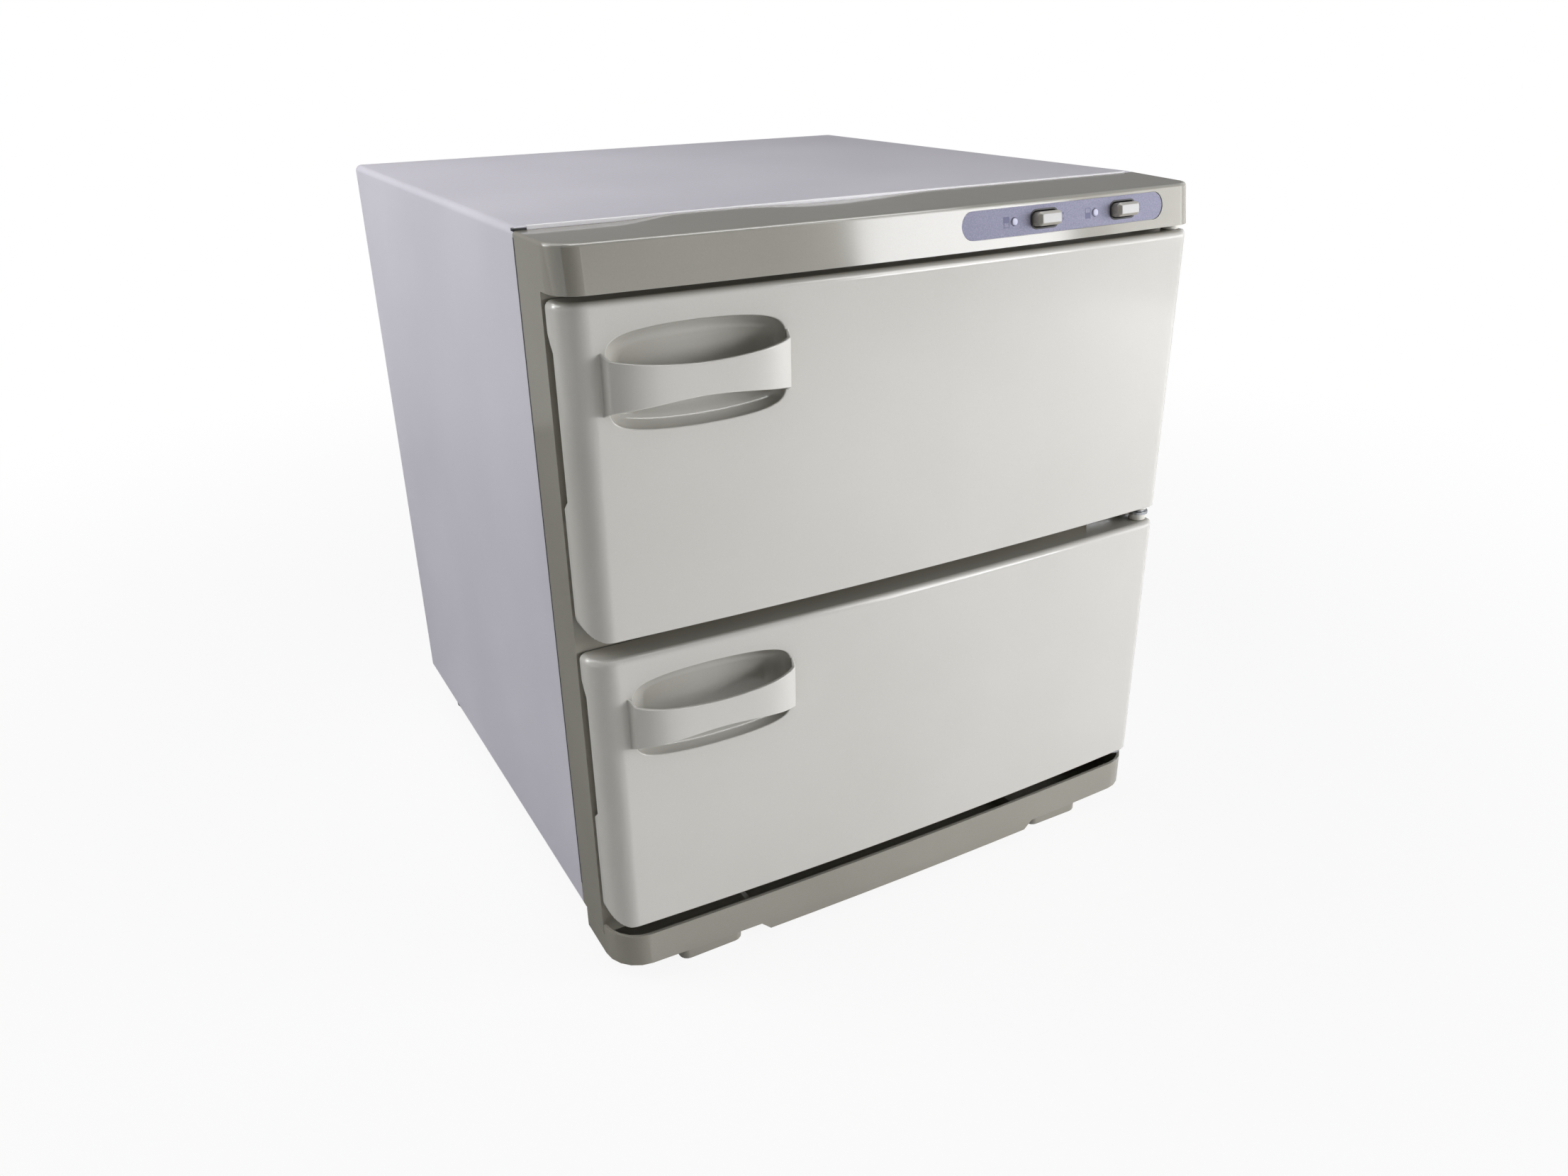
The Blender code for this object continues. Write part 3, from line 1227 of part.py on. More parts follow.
def wiring_loom():
    """Sleeved loom from the switches, back over the upper jacket and down to the terminals."""
    radius = LOOM_DIAMETER / 2
    x0, x1 = SWITCH_CENTRES[0], GLAND_X
    jacket_top = UPPER_DOOR + DOOR_HEIGHT - OPENING_OVERLAP + LINER_SHEET + CLEARANCE + INSULATION
    z_top = jacket_top + CLEARANCE + radius
    z_end = BASE_TOP + CLEARANCE + TERMINAL_HEIGHT + CLEARANCE
    y_front = FRAME_FRONT + LOOM_BEND
    y_turn = LINER_BACK / 2
    y_back = SHELL_DEPTH - TERMINAL_FROM_BACK
    corners = [
        Vector((x0, y_front, z_top)), Vector((x0, y_turn, z_top)), Vector((x1, y_turn, z_top)),
        Vector((x1, y_back, z_top)), Vector((x1, y_back, z_end)),
    ]
    points = [corners[0]]
    for before, corner, after in zip(corners, corners[1:], corners[2:]):
        start = (before - corner).normalized() * LOOM_BEND
        end = (after - corner).normalized() * LOOM_BEND
        for step in range(ARC_STEPS + 1):
            turn = 0.5 * math.pi * step / ARC_STEPS
            points.append(corner + start * (1 - math.sin(turn)) + end * (1 - math.cos(turn)))
    points.append(corners[-1])
    return tube("wiring_loom", points, LOOM_DIAMETER)


def build_cabinet():
    cabinet = empty("cabinet", Matrix.Translation(ORIGIN_SHIFT))
    piece(outer_shell(), "shell_paint", cabinet)
    piece(rear_panel(), "shell_paint", cabinet)
    piece(base_plate(), "plain_steel", cabinet)
    piece(cord_gland(), "black_rubber", cabinet)
    piece(front_frame(), "grey_moulding", cabinet)
    for name, side in (("left", -1), ("right", 1)):
        piece(front_foot("front_foot_" + name, side * FOOT_CENTRE + FOOT_SHIFT), "grey_moulding", cabinet)
        x = side * (HALF_WIDTH - REAR_FOOT_FROM_SIDE)
        piece(rear_foot("rear_foot_" + name, x), "black_rubber", cabinet)
    piece(terminal_block(), "terminal_white", cabinet)
    piece(wiring_loom(), "loom_sleeve", cabinet)
    hinge_hardware(cabinet)
    return cabinet


def build_controls(cabinet):
    face = empty("control_face", FACE_PLACE, cabinet)
    piece(control_label(), "label_film", face)
    for name, x in zip(("left", "right"), SWITCH_CENTRES):
        piece(lamp_lens("lamp_lens_" + name, x), "lamp_lens", face)
        piece(switch_body("switch_body_" + name, x), "switch_black", face)
        axis = empty("switch_axis_" + name, Matrix.Translation((x, LABEL_RISE, 0)), face)
        piece(switch_cap("switch_cap_" + name, x), "nylon", axis)


def build_chamber(cabinet, level, door_bottom):
    piece(chamber_liner(level + "_liner", door_bottom), "liner_aluminium", cabinet)
    piece(insulation(level + "_insulation", door_bottom), "glass_wool", cabinet)
    piece(heater(level + "_heater", door_bottom), "heater_sheath", cabinet)
    piece(thermostat(level + "_thermostat", door_bottom), "bakelite", cabinet)
    piece(thermal_fuse(level + "_thermal_fuse", door_bottom), "terminal_white", cabinet)
    piece(towel_rack(level + "_rack", door_bottom), "chrome_wire", cabinet)
    piece(catch_magnet(level + "_catch_magnet", door_bottom), "magnet_ferrite", cabinet)


def build_door(cabinet, level, door_bottom, top_flange, bottom_flange):
    axis = Vector((HINGE_X, HINGE_Y, door_bottom))
    pivot = empty(level + "_door_pivot", Matrix.Translation(axis), cabinet)
    piece(door_shell(level + "_door_shell", door_bottom), "white_moulding", pivot, axis)
    piece(door_liner(level + "_door_liner", door_bottom), "white_moulding", pivot, axis)
    piece(door_foam(level + "_door_foam", door_bottom), "core_foam", pivot, axis)
    piece(door_gasket(level + "_door_gasket", door_bottom), "seal_rubber", pivot, axis)
    piece(strike_plate(level + "_strike_plate", door_bottom), "plain_steel", pivot, axis)
    door_top = door_bottom + DOOR_HEIGHT
    piece(door_bush(level + "_bush_top", door_top, 1, top_flange), "nylon", pivot, axis)
    piece(door_bush(level + "_bush_bottom", door_bottom, -1, bottom_flange), "nylon", pivot, axis)


def build():
    clear_scene()
    cabinet = build_cabinet()
    build_controls(cabinet)
    _, _, _, upper_flange, lower_flange = middle_levels()
    head_flange = DOOR_HEAD_GAP - 3 * CLEARANCE
    for level, door_bottom, top_flange, bottom_flange in (
        ("upper", UPPER_DOOR, head_flange, upper_flange),
        ("lower", LOWER_DOOR, lower_flange, BOTTOM_BUSH_FLANGE),
    ):
        build_chamber(cabinet, level, door_bottom)
        build_door(cabinet, level, door_bottom, top_flange, bottom_flange)
    runner = Vector((0, TRAY_FRONT - TRAY_BOW, -TRAY_DROP))
    slide = empty("tray_slide", Matrix.Translation(runner), cabinet)
    piece(drip_tray(), "grey_moulding", slide, runner)


build()
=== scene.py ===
import json
import math

import bmesh
import bpy
from mathutils import Euler, Matrix, Vector

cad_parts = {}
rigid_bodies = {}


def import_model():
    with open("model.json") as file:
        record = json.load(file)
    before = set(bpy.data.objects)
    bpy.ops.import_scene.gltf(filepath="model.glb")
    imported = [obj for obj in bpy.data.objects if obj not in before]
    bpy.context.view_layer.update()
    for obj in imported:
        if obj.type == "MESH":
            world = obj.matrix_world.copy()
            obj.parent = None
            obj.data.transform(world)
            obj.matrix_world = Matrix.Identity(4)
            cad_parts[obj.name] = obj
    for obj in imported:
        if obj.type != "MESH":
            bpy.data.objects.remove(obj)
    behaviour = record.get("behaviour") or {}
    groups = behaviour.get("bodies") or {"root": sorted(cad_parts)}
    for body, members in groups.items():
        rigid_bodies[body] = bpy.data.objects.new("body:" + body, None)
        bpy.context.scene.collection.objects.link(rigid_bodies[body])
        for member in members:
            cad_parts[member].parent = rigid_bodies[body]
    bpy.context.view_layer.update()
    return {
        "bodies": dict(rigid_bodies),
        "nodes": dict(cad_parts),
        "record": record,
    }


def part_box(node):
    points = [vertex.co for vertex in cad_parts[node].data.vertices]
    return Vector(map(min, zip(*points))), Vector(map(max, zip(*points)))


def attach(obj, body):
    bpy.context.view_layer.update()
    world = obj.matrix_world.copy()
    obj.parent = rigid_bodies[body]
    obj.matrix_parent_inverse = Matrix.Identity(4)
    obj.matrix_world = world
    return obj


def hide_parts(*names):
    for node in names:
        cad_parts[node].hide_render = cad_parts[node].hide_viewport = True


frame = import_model()
nodes = frame["nodes"]
bodyOf = {node: body for body, members in frame["record"]["behaviour"]["bodies"].items() for node in members}
for extra in [o for o in bpy.data.objects if o not in nodes.values() and o not in frame["bodies"].values()]:
    bpy.data.objects.remove(extra, do_unlink=True)
scene = bpy.context.scene
scene.view_settings.view_transform = "Standard"
print("frame loaded:", len(nodes), "nodes")


# camera, fitted to the photograph's frame
cameraSet = {"place": (-0.42536, -0.82817, 0.57773), "turn": (65.148, 0.926, -29.256), "lens": 27.83}
cameraData = bpy.data.cameras.new("photoCamera")
cameraData.sensor_width = 36
cameraData.sensor_fit = "HORIZONTAL"
cameraData.lens = cameraSet["lens"]
camera = bpy.data.objects.new("photoCamera", cameraData)
camera.location = cameraSet["place"]
camera.rotation_euler = [math.radians(angle) for angle in cameraSet["turn"]]
scene.collection.objects.link(camera)
scene.camera = camera
print("camera placed")


def linear(*levels):
    # written colours are screen values from 0 to 255
    shares = [level / 255 for level in levels]
    return tuple(s / 12.92 if s <= 0.04 else ((s + 0.055) / 1.055) ** 2.4 for s in shares)


def addNode(tree, kind, x, y, **values):
    node = tree.nodes.new(kind)
    node.location = (x, y)
    for key, value in values.items():
        setattr(node, key, value)
    return node


def addMath(tree, operation, x, y, first, second):
    node = addNode(tree, "ShaderNodeMath", x, y, operation=operation)
    for socket, value in zip(node.inputs, (first, second)):
        if isinstance(value, (int, float)):
            socket.default_value = value
        else:
            tree.links.new(value, socket)
    return node.outputs[0]


def newGroup(name, inputs, outputs):
    group = bpy.data.node_groups.new(name, "ShaderNodeTree")
    for label, value in inputs:
        kind = "NodeSocketVector" if value is None else "NodeSocketFloat"
        socket = group.interface.new_socket(label, in_out="INPUT", socket_type=kind)
        if value is not None:
            socket.default_value = value
    for label in outputs:
        group.interface.new_socket(label, in_out="OUTPUT", socket_type="NodeSocketFloat")
    return group, addNode(group, "NodeGroupInput", -600, 0), addNode(group, "NodeGroupOutput", 600, 0)


def grainGroup():
    # fine noise over broad blotches
    group, into, out = newGroup("moulding grain", [
        ("Vector", None), ("Fine Scale", 900.0), ("Broad Scale", 14.0), ("Broad Share", 0.5),
    ], ["Shade", "Height"])
    fine = addNode(group, "ShaderNodeTexNoise", -300, 150)
    fine.inputs["Detail"].default_value = 3
    broad = addNode(group, "ShaderNodeTexNoise", -300, -150)
    broad.inputs["Detail"].default_value = 4
    mix = addNode(group, "ShaderNodeMix", 100, 0)
    for noise, label in ((fine, "Fine Scale"), (broad, "Broad Scale")):
        group.links.new(into.outputs["Vector"], noise.inputs["Vector"])
        group.links.new(into.outputs[label], noise.inputs["Scale"])
    group.links.new(into.outputs["Broad Share"], mix.inputs["Factor"])
    group.links.new(fine.outputs["Fac"], mix.inputs["A"])
    group.links.new(broad.outputs["Fac"], mix.inputs["B"])
    group.links.new(mix.outputs["Result"], out.inputs["Shade"])
    group.links.new(fine.outputs["Fac"], out.inputs["Height"])
    return group


dustSet = {
    "clouds": 22, "cloudDetail": 6, "specks": 62, "speckSize": 0.018,
    "colour": (226, 224, 220), "duller": 0.3,
}


def dustGroup():
    # a thin film on what faces up, and a few settled specks
    group, into, out = newGroup("settled dust", [("Vector", None), ("Film", 0.2), ("Specks", 0.5)], ["Mask"])
    normal = addNode(group, "ShaderNodeNewGeometry", -600, -250)
    split = addNode(group, "ShaderNodeSeparateXYZ", -400, -250)
    group.links.new(normal.outputs["Normal"], split.inputs[0])
    upward = addMath(group, "MAXIMUM", -200, -250, split.outputs["Z"], 0.0)
    cloud = addNode(group, "ShaderNodeTexNoise", -400, 150)
    cloud.inputs["Scale"].default_value = dustSet["clouds"]
    cloud.inputs["Detail"].default_value = dustSet["cloudDetail"]
    speck = addNode(group, "ShaderNodeTexVoronoi", -400, -50)
    speck.inputs["Scale"].default_value = dustSet["specks"]
    for texture in (cloud, speck):
        group.links.new(into.outputs["Vector"], texture.inputs["Vector"])
    clouded = addMath(group, "MULTIPLY", -100, 100, cloud.outputs["Fac"], upward)
    film = addMath(group, "MULTIPLY", 0, 100, clouded, into.outputs["Film"])
    dot = addMath(group, "LESS_THAN", -200, -50, speck.outputs["Distance"], dustSet["speckSize"])
    dots = addMath(group, "MULTIPLY", 0, -50, dot, into.outputs["Specks"])
    group.links.new(addMath(group, "MAXIMUM", 200, 0, film, dots), out.inputs["Mask"])
    return group


wornLitEdgeSet = {"radius": 0.0007, "gain": 4.0}


def wornLitEdgeGroup():
    # how much an edge turns away from its faces, for lighter edges that are partly rubbed wear and partly a
    # painted highlight where they catch light
    group, into, out = newGroup("rubbed edge and painted highlight", [("Amount", 0.3)], ["Mask"])
    bevel = addNode(group, "ShaderNodeBevel", -400, 100, samples=4)
    bevel.inputs["Radius"].default_value = wornLitEdgeSet["radius"]
    flat = addNode(group, "ShaderNodeNewGeometry", -400, -100)
    dot = addNode(group, "ShaderNodeVectorMath", -200, 0, operation="DOT_PRODUCT")
    group.links.new(bevel.outputs["Normal"], dot.inputs[0])
    group.links.new(flat.outputs["Normal"], dot.inputs[1])
    turn = addMath(group, "SUBTRACT", 0, 0, 1.0, dot.outputs["Value"])
    strong = addMath(group, "MULTIPLY", 150, 0, turn, wornLitEdgeSet["gain"])
    share = addMath(group, "MINIMUM", 220, 0, strong, 1.0)
    group.links.new(addMath(group, "MULTIPLY", 300, 0, share, into.outputs["Amount"]), out.inputs["Mask"])
    return group


def creviceShadeGroup():
    # painted shade: the colour darkens where ambient occlusion finds the surface closed in on itself
    group, into, out = newGroup("painted crevice shade", [("Amount", 0.3), ("Reach", 0.02)], ["Mask"])
    hidden = addNode(group, "ShaderNodeAmbientOcclusion", -300, 0, samples=6)
    group.links.new(into.outputs["Reach"], hidden.inputs["Distance"])
    depth = addMath(group, "SUBTRACT", 0, 0, 1.0, hidden.outputs["AO"])
    group.links.new(addMath(group, "MULTIPLY", 200, 0, depth, into.outputs["Amount"]), out.inputs["Mask"])
    return group


groups = {"grain": grainGroup(), "dust": dustGroup(), "wornLitEdge": wornLitEdgeGroup(), "creviceShade": creviceShadeGroup()}

# one row for each finish: colours, gloss and the scale of its surface
# in these rows edge is the colour of lightened edges, partly wear and partly painted highlight, and deep is
# the colour of painted shade in crevices
finishes = {
    "shell_paint": {
        "colour": (224, 221, 231), "shade": (216, 213, 224), "rough": 0.42, "spread": 0.10,
        "fine": 1500, "broad": 7, "share": 0.6, "bump": 0.00002, "film": 0.05, "specks": 0.0, "wornLitEdge": 0.25,
        "edge": (232, 231, 236),
    },
    "grey_moulding": {
        "colour": (166, 163, 152), "shade": (159, 156, 145), "rough": 0.10, "spread": 0.05,
        "fine": 1100, "broad": 9, "share": 0.7, "bump": 0.000003, "film": 0.05, "specks": 0.5, "wornLitEdge": 0.30,
        "edge": (190, 187, 177), "shadeAmount": 0.22, "reach": 0.016, "deep": (118, 110, 98),
    },
    "white_moulding": {
        "colour": (222, 220, 214), "shade": (216, 214, 207), "rough": 0.12, "spread": 0.05,
        "fine": 1100, "broad": 6, "share": 0.7, "bump": 0.000003, "film": 0.04, "specks": 0.4, "wornLitEdge": 0.35,
        "edge": (240, 239, 234), "shadeAmount": 0.80, "reach": 0.042, "deep": (114, 110, 92),
    },
    # the wrap's paint made lighter for its folded hem: a painted highlight
    "hem_painted_highlight": {
        "colour": (250, 249, 251), "shade": (244, 243, 247), "rough": 0.24, "spread": 0.06,
        "fine": 1500, "broad": 20, "share": 0.5, "bump": 0.000006, "wornLitEdge": 0.3, "edge": (253, 253, 253),
    },
    "label_film": {
        "colour": (152, 151, 174), "shade": (130, 130, 154), "rough": 0.56, "spread": 0.08, "specular": 0.35,
        "fine": 1300, "broad": 40, "share": 0.15, "bump": 0.00001, "wornLitEdge": 0.2, "edge": (196, 196, 214),
    },
    "label_ink": {
        "colour": (104, 104, 134), "shade": (114, 114, 142), "rough": 0.58, "spread": 0.08, "specular": 0.3,
        "fine": 2600, "broad": 60, "share": 0.4, "bump": 0.00001,
    },
    "lamp_lens": {
        "colour": (208, 208, 230), "shade": (198, 198, 222), "rough": 0.45, "spread": 0.05,
        "fine": 1400, "broad": 300, "share": 0.6, "bump": 0.000004, "wornLitEdge": 0.3, "edge": (238, 238, 246),
    },
    # the caps' plastic made lighter for the raised pad: a painted highlight on its front
    "cap_pad_painted_highlight": {
        "colour": (214, 213, 212), "shade": (206, 205, 203), "rough": 0.40, "spread": 0.08, "specular": 0.3,
        "fine": 1800, "broad": 80, "share": 0.5, "bump": 0.000006, "wornLitEdge": 0.4, "edge": (228, 227, 225),
    },
    "cap_plastic": {
        "colour": (172, 168, 158), "shade": (162, 158, 148), "rough": 0.38, "spread": 0.08,
        "fine": 1800, "broad": 80, "share": 0.5, "bump": 0.000006, "wornLitEdge": 0.4, "edge": (206, 203, 195),
    },
    "switch_black": {
        "colour": (28, 28, 30), "shade": (20, 20, 22), "rough": 0.5, "fine": 1500, "bump": 0.00001,
    },
    "liner_aluminium": {
        "colour": (214, 216, 218), "shade": (190, 192, 195), "rough": 0.34, "spread": 0.16, "metal": 1.0,
        "fine": 700, "broad": 12, "share": 0.3, "bump": 0.000006, "stretch": (1, 0.03, 1), "wornLitEdge": 0.4,
        "edge": (232, 233, 235),
    },
    "plain_steel": {
        "colour": (196, 198, 200), "shade": (172, 174, 176), "rough": 0.32, "spread": 0.14, "metal": 1.0,
        "fine": 900, "broad": 40, "share": 0.5, "bump": 0.000006, "wornLitEdge": 0.5, "edge": (222, 223, 224),
    },
    "chrome_wire": {
        "colour": (212, 213, 215), "shade": (198, 199, 201), "rough": 0.13, "spread": 0.08, "metal": 1.0,
        "fine": 600, "broad": 30, "share": 0.5, "bump": 0.000004,
    },
    "glass_wool": {
        "colour": (222, 204, 150), "shade": (188, 166, 108), "rough": 0.95, "fine": 420, "broad": 30,
        "share": 0.35, "bump": 0.0006, "stretch": (1, 1, 3.2),
    },
    "core_foam": {
        "colour": (230, 226, 208), "shade": (214, 208, 186), "rough": 0.95, "fine": 650, "broad": 40,
        "bump": 0.0002,
    },
    "heater_sheath": {
        "colour": (136, 126, 118), "shade": (104, 92, 84), "rough": 0.42, "spread": 0.18, "metal": 1.0,
        "fine": 500, "broad": 25, "share": 0.6, "bump": 0.00001,
    },
    "bakelite": {
        "colour": (66, 52, 46), "shade": (50, 38, 34), "rough": 0.4, "fine": 900, "bump": 0.00001,
    },
    "nylon": {
        "colour": (228, 226, 218), "shade": (218, 215, 205), "rough": 0.38, "fine": 1200, "broad": 60,
        "share": 0.5, "bump": 0.00001,
    },
    "seal_rubber": {
        "colour": (168, 167, 162), "shade": (154, 153, 148), "rough": 0.68, "fine": 1200, "broad": 30,
        "share": 0.5, "bump": 0.00003,
    },
    "black_rubber": {
        "colour": (40, 40, 43), "shade": (30, 30, 32), "rough": 0.72, "fine": 1300, "broad": 50,
        "share": 0.5, "bump": 0.00004, "film": 0.2, "wornLitEdge": 0.3, "edge": (76, 76, 78),
    },
    "magnet_ferrite": {
        "colour": (62, 62, 66), "shade": (48, 48, 52), "rough": 0.6, "fine": 1400, "bump": 0.00003,
    },
    "terminal_white": {
        "colour": (222, 218, 206), "shade": (206, 200, 186), "rough": 0.45, "fine": 900, "bump": 0.00001,
    },
    "loom_sleeve": {
        "colour": (46, 46, 48), "shade": (34, 34, 36), "rough": 0.6, "fine": 800, "bump": 0.0001,
    },
}
# the part of the grain's noise that runs from a finish's shade to its colour
toneSpan = 0.35, 0.65


def makeFinish(name, look):
    material = bpy.data.materials.new(name)
    material.use_nodes = True
    tree = material.node_tree
    tree.nodes.clear()
    out = addNode(tree, "ShaderNodeOutputMaterial", 900, 0)
    shader = addNode(tree, "ShaderNodeBsdfPrincipled", 600, 0)
    tree.links.new(shader.outputs[0], out.inputs[0])
    shader.inputs["Metallic"].default_value = look.get("metal", 0.0)
    shader.inputs["Specular IOR Level"].default_value = look.get("specular", 0.5)
    coords = addNode(tree, "ShaderNodeTexCoord", -1100, 0)
    mapping = addNode(tree, "ShaderNodeMapping", -900, 0)
    mapping.inputs["Scale"].default_value = look.get("stretch", (1, 1, 1))
    tree.links.new(coords.outputs["Object"], mapping.inputs["Vector"])
    grain = addNode(tree, "ShaderNodeGroup", -650, 100, node_tree=groups["grain"])
    grain.inputs["Fine Scale"].default_value = look["fine"]
    grain.inputs["Broad Scale"].default_value = look.get("broad", 30)
    grain.inputs["Broad Share"].default_value = look.get("share", 0.4)
    tree.links.new(mapping.outputs[0], grain.inputs["Vector"])
    tone = addNode(tree, "ShaderNodeMapRange", -420, 200)
    tone.inputs["From Min"].default_value, tone.inputs["From Max"].default_value = toneSpan
    tree.links.new(grain.outputs["Shade"], tone.inputs["Value"])

    def blend(x, factor, under, over):
        mix = addNode(tree, "ShaderNodeMix", x, 200, data_type="RGBA")
        tree.links.new(factor, mix.inputs["Factor"])
        for socket, colour in ((mix.inputs[6], under), (mix.inputs[7], over)):
            if isinstance(colour, tuple):
                socket.default_value = (*linear(*colour), 1)
            else:
                tree.links.new(colour, socket)
        return mix.outputs[2]

    colour = blend(-200, tone.outputs[0], look["shade"], look["colour"])
    spread = look.get("spread", 0.06)
    rough = addMath(tree, "MULTIPLY_ADD", 0, -100, tone.outputs[0], spread)
    rough.node.inputs[2].default_value = look["rough"] - spread / 2
    if look.get("film") or look.get("specks"):
        dust = addNode(tree, "ShaderNodeGroup", -420, -250, node_tree=groups["dust"])
        dust.inputs["Film"].default_value = look.get("film", 0.0)
        dust.inputs["Specks"].default_value = look.get("specks", 0.0)
        tree.links.new(coords.outputs["Object"], dust.inputs["Vector"])
        colour = blend(0, dust.outputs["Mask"], colour, dustSet["colour"])
        duller = addMath(tree, "MULTIPLY", 150, -250, dust.outputs["Mask"], dustSet["duller"])
        rough = addMath(tree, "ADD", 250, -150, rough, duller)
    # lighter edges, partly rubbed wear and partly a painted highlight
    if look.get("wornLitEdge"):
        wornLitEdge = addNode(tree, "ShaderNodeGroup", -420, -450, node_tree=groups["wornLitEdge"])
        wornLitEdge.inputs["Amount"].default_value = look["wornLitEdge"]
        colour = blend(200, wornLitEdge.outputs["Mask"], colour, look["edge"])
    # painted shade in crevices: the colour darkens towards deep where the surface closes in
    if look.get("shadeAmount"):
        creviceShade = addNode(tree, "ShaderNodeGroup", -420, -600, node_tree=groups["creviceShade"])
        creviceShade.inputs["Amount"].default_value = look["shadeAmount"]
        creviceShade.inputs["Reach"].default_value = look["reach"]
        colour = blend(400, creviceShade.outputs["Mask"], colour, look["deep"])
    bump = addNode(tree, "ShaderNodeBump", 350, -350)
    bump.inputs["Distance"].default_value = look["bump"]
    bump.inputs["Strength"].default_value = 1.0
    tree.links.new(grain.outputs["Height"], bump.inputs["Height"])
    tree.links.new(colour, shader.inputs["Base Color"])
    tree.links.new(rough, shader.inputs["Roughness"])
    tree.links.new(bump.outputs["Normal"], shader.inputs["Normal"])
    return material


materials = {name: makeFinish(name, look) for name, look in finishes.items()}
slotOf = {name: name for name in finishes}
slotOf.update({
    "label_ink": "label_film", "cap_plastic": "nylon", "cap_pad_painted_highlight": "nylon", "hem_painted_highlight": "shell_paint",
})
print("finishes made:", len(materials))


# mesh helpers
def meshPiece(name, bm):
    bmesh.ops.remove_doubles(bm, verts=bm.verts, dist=1e-7)
    bmesh.ops.recalc_face_normals(bm, faces=bm.faces)
    mesh = bpy.data.meshes.new(name)
    bm.to_mesh(mesh)
    bm.free()
    piece = bpy.data.objects.new(name, mesh)
    scene.collection.objects.link(piece)
    return piece


def skin(name, rings):
    # closed skin over rings of equal count
    bm = bmesh.new()
    loops = [[bm.verts.new(point) for point in ring] for ring in rings]
    bm.faces.new(loops[0])
    bm.faces.new(loops[-1])
    for first, second in zip(loops, loops[1:]):
        for i in range(len(first)):
            j = (i + 1) % len(first)
            bm.faces.new((first[i], first[j], second[j], second[i]))
    return meshPiece(name, bm)


def addBox(bm, low, high):
    low, high = Vector(low), Vector(high)
    size = Matrix.Diagonal((*(high - low), 1))
    bmesh.ops.create_cube(bm, size=1.0, matrix=Matrix.Translation((low + high) / 2) @ size)


def bake(piece):
    graph = bpy.context.evaluated_depsgraph_get()
    shaped = piece.evaluated_get(graph)
    mesh = bpy.data.meshes.new_from_object(shaped, preserve_all_data_layers=True, depsgraph=graph)
    piece.modifiers.clear()
    old = piece.data
    piece.data = mesh
    bpy.data.meshes.remove(old)
    return piece


def carve(target, tool, operation="DIFFERENCE"):
    modifier = target.modifiers.new("carve", "BOOLEAN")
    modifier.operation = operation
    modifier.solver = "EXACT"
    modifier.object = tool
    bake(target)
    bpy.data.objects.remove(tool, do_unlink=True)


def soften(piece, width, angle=35, segments=2):
    modifier = piece.modifiers.new("soften", "BEVEL")
    modifier.width = width
    modifier.segments = segments
    modifier.limit_method = "ANGLE"
    modifier.angle_limit = math.radians(angle)
    modifier.use_clamp_overlap = True
    bake(piece)


def settle(piece, angle=40):
    # smooth faces with normals led by the large ones
    piece.data.shade_smooth()
    piece.data.set_sharp_from_angle(angle=math.radians(angle))
    modifier = piece.modifiers.new("settle", "WEIGHTED_NORMAL")
    modifier.keep_sharp = True
    bake(piece)


def place(piece, body, finish, *replaced):
    piece.data.materials.clear()
    piece.data.materials.append(materials[finish])
    for polygon in piece.data.polygons:
        polygon.material_index = 0
    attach(piece, body)
    if replaced:
        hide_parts(*replaced)
    return piece


dressSet = {"weld": 2e-6, "flat": math.radians(0.4)}


def dress(node, finish, width=0.0003, segments=2, angle=35, shape=None):
    # a merged copy of a CAD solid with soft edges
    bm = bmesh.new()
    bm.from_mesh(nodes[node].data)
    bmesh.ops.remove_doubles(bm, verts=bm.verts, dist=dressSet["weld"])
    bmesh.ops.dissolve_limit(bm, angle_limit=dressSet["flat"], verts=bm.verts, edges=bm.edges)
    if shape:
        shape(bm)
    piece = meshPiece(node + "_dressed", bm)
    soften(piece, width, angle, segments)
    settle(piece)
    return place(piece, bodyOf[node], finish, node)


def edgeInset(radius, depth):
    # how far a rounded edge stands back at a depth from its end
    return radius - math.sqrt(radius ** 2 - (radius - depth) ** 2) if depth < radius else 0.0


def arcLevels(radius, steps):
    return [radius * (1 - math.cos(0.5 * math.pi * step / steps)) for step in range(steps + 1)]


def roundedOutline(a0, a1, b0, b1, radius, steps):
    points = []
    for ca, cb, start in (
        (a0 + radius, b0 + radius, 1.0), (a1 - radius, b0 + radius, 1.5),
        (a1 - radius, b1 - radius, 0.0), (a0 + radius, b1 - radius, 0.5),
    ):
        for step in range(steps + 1):
            turn = math.pi * (start + 0.5 * step / steps)
            points.append((ca + radius * math.cos(turn), cb + radius * math.sin(turn)))
    return points


def archedOutline(halfA, halfB, power, arch, crowd, steps):
    # soft-cornered outline whose long sides bulge, with its points crowded into the corners
    points = []
    for step in range(steps):
        turn = 2 * math.pi * step / steps
        turn -= crowd * math.sin(4 * turn)
        c, s = math.cos(turn), math.sin(turn)
        a = math.copysign(abs(c) ** (2 / power), c)
        points.append((halfA * a, halfB * (1 - arch * a * a) * math.copysign(abs(s) ** (2 / power), s)))
    return points


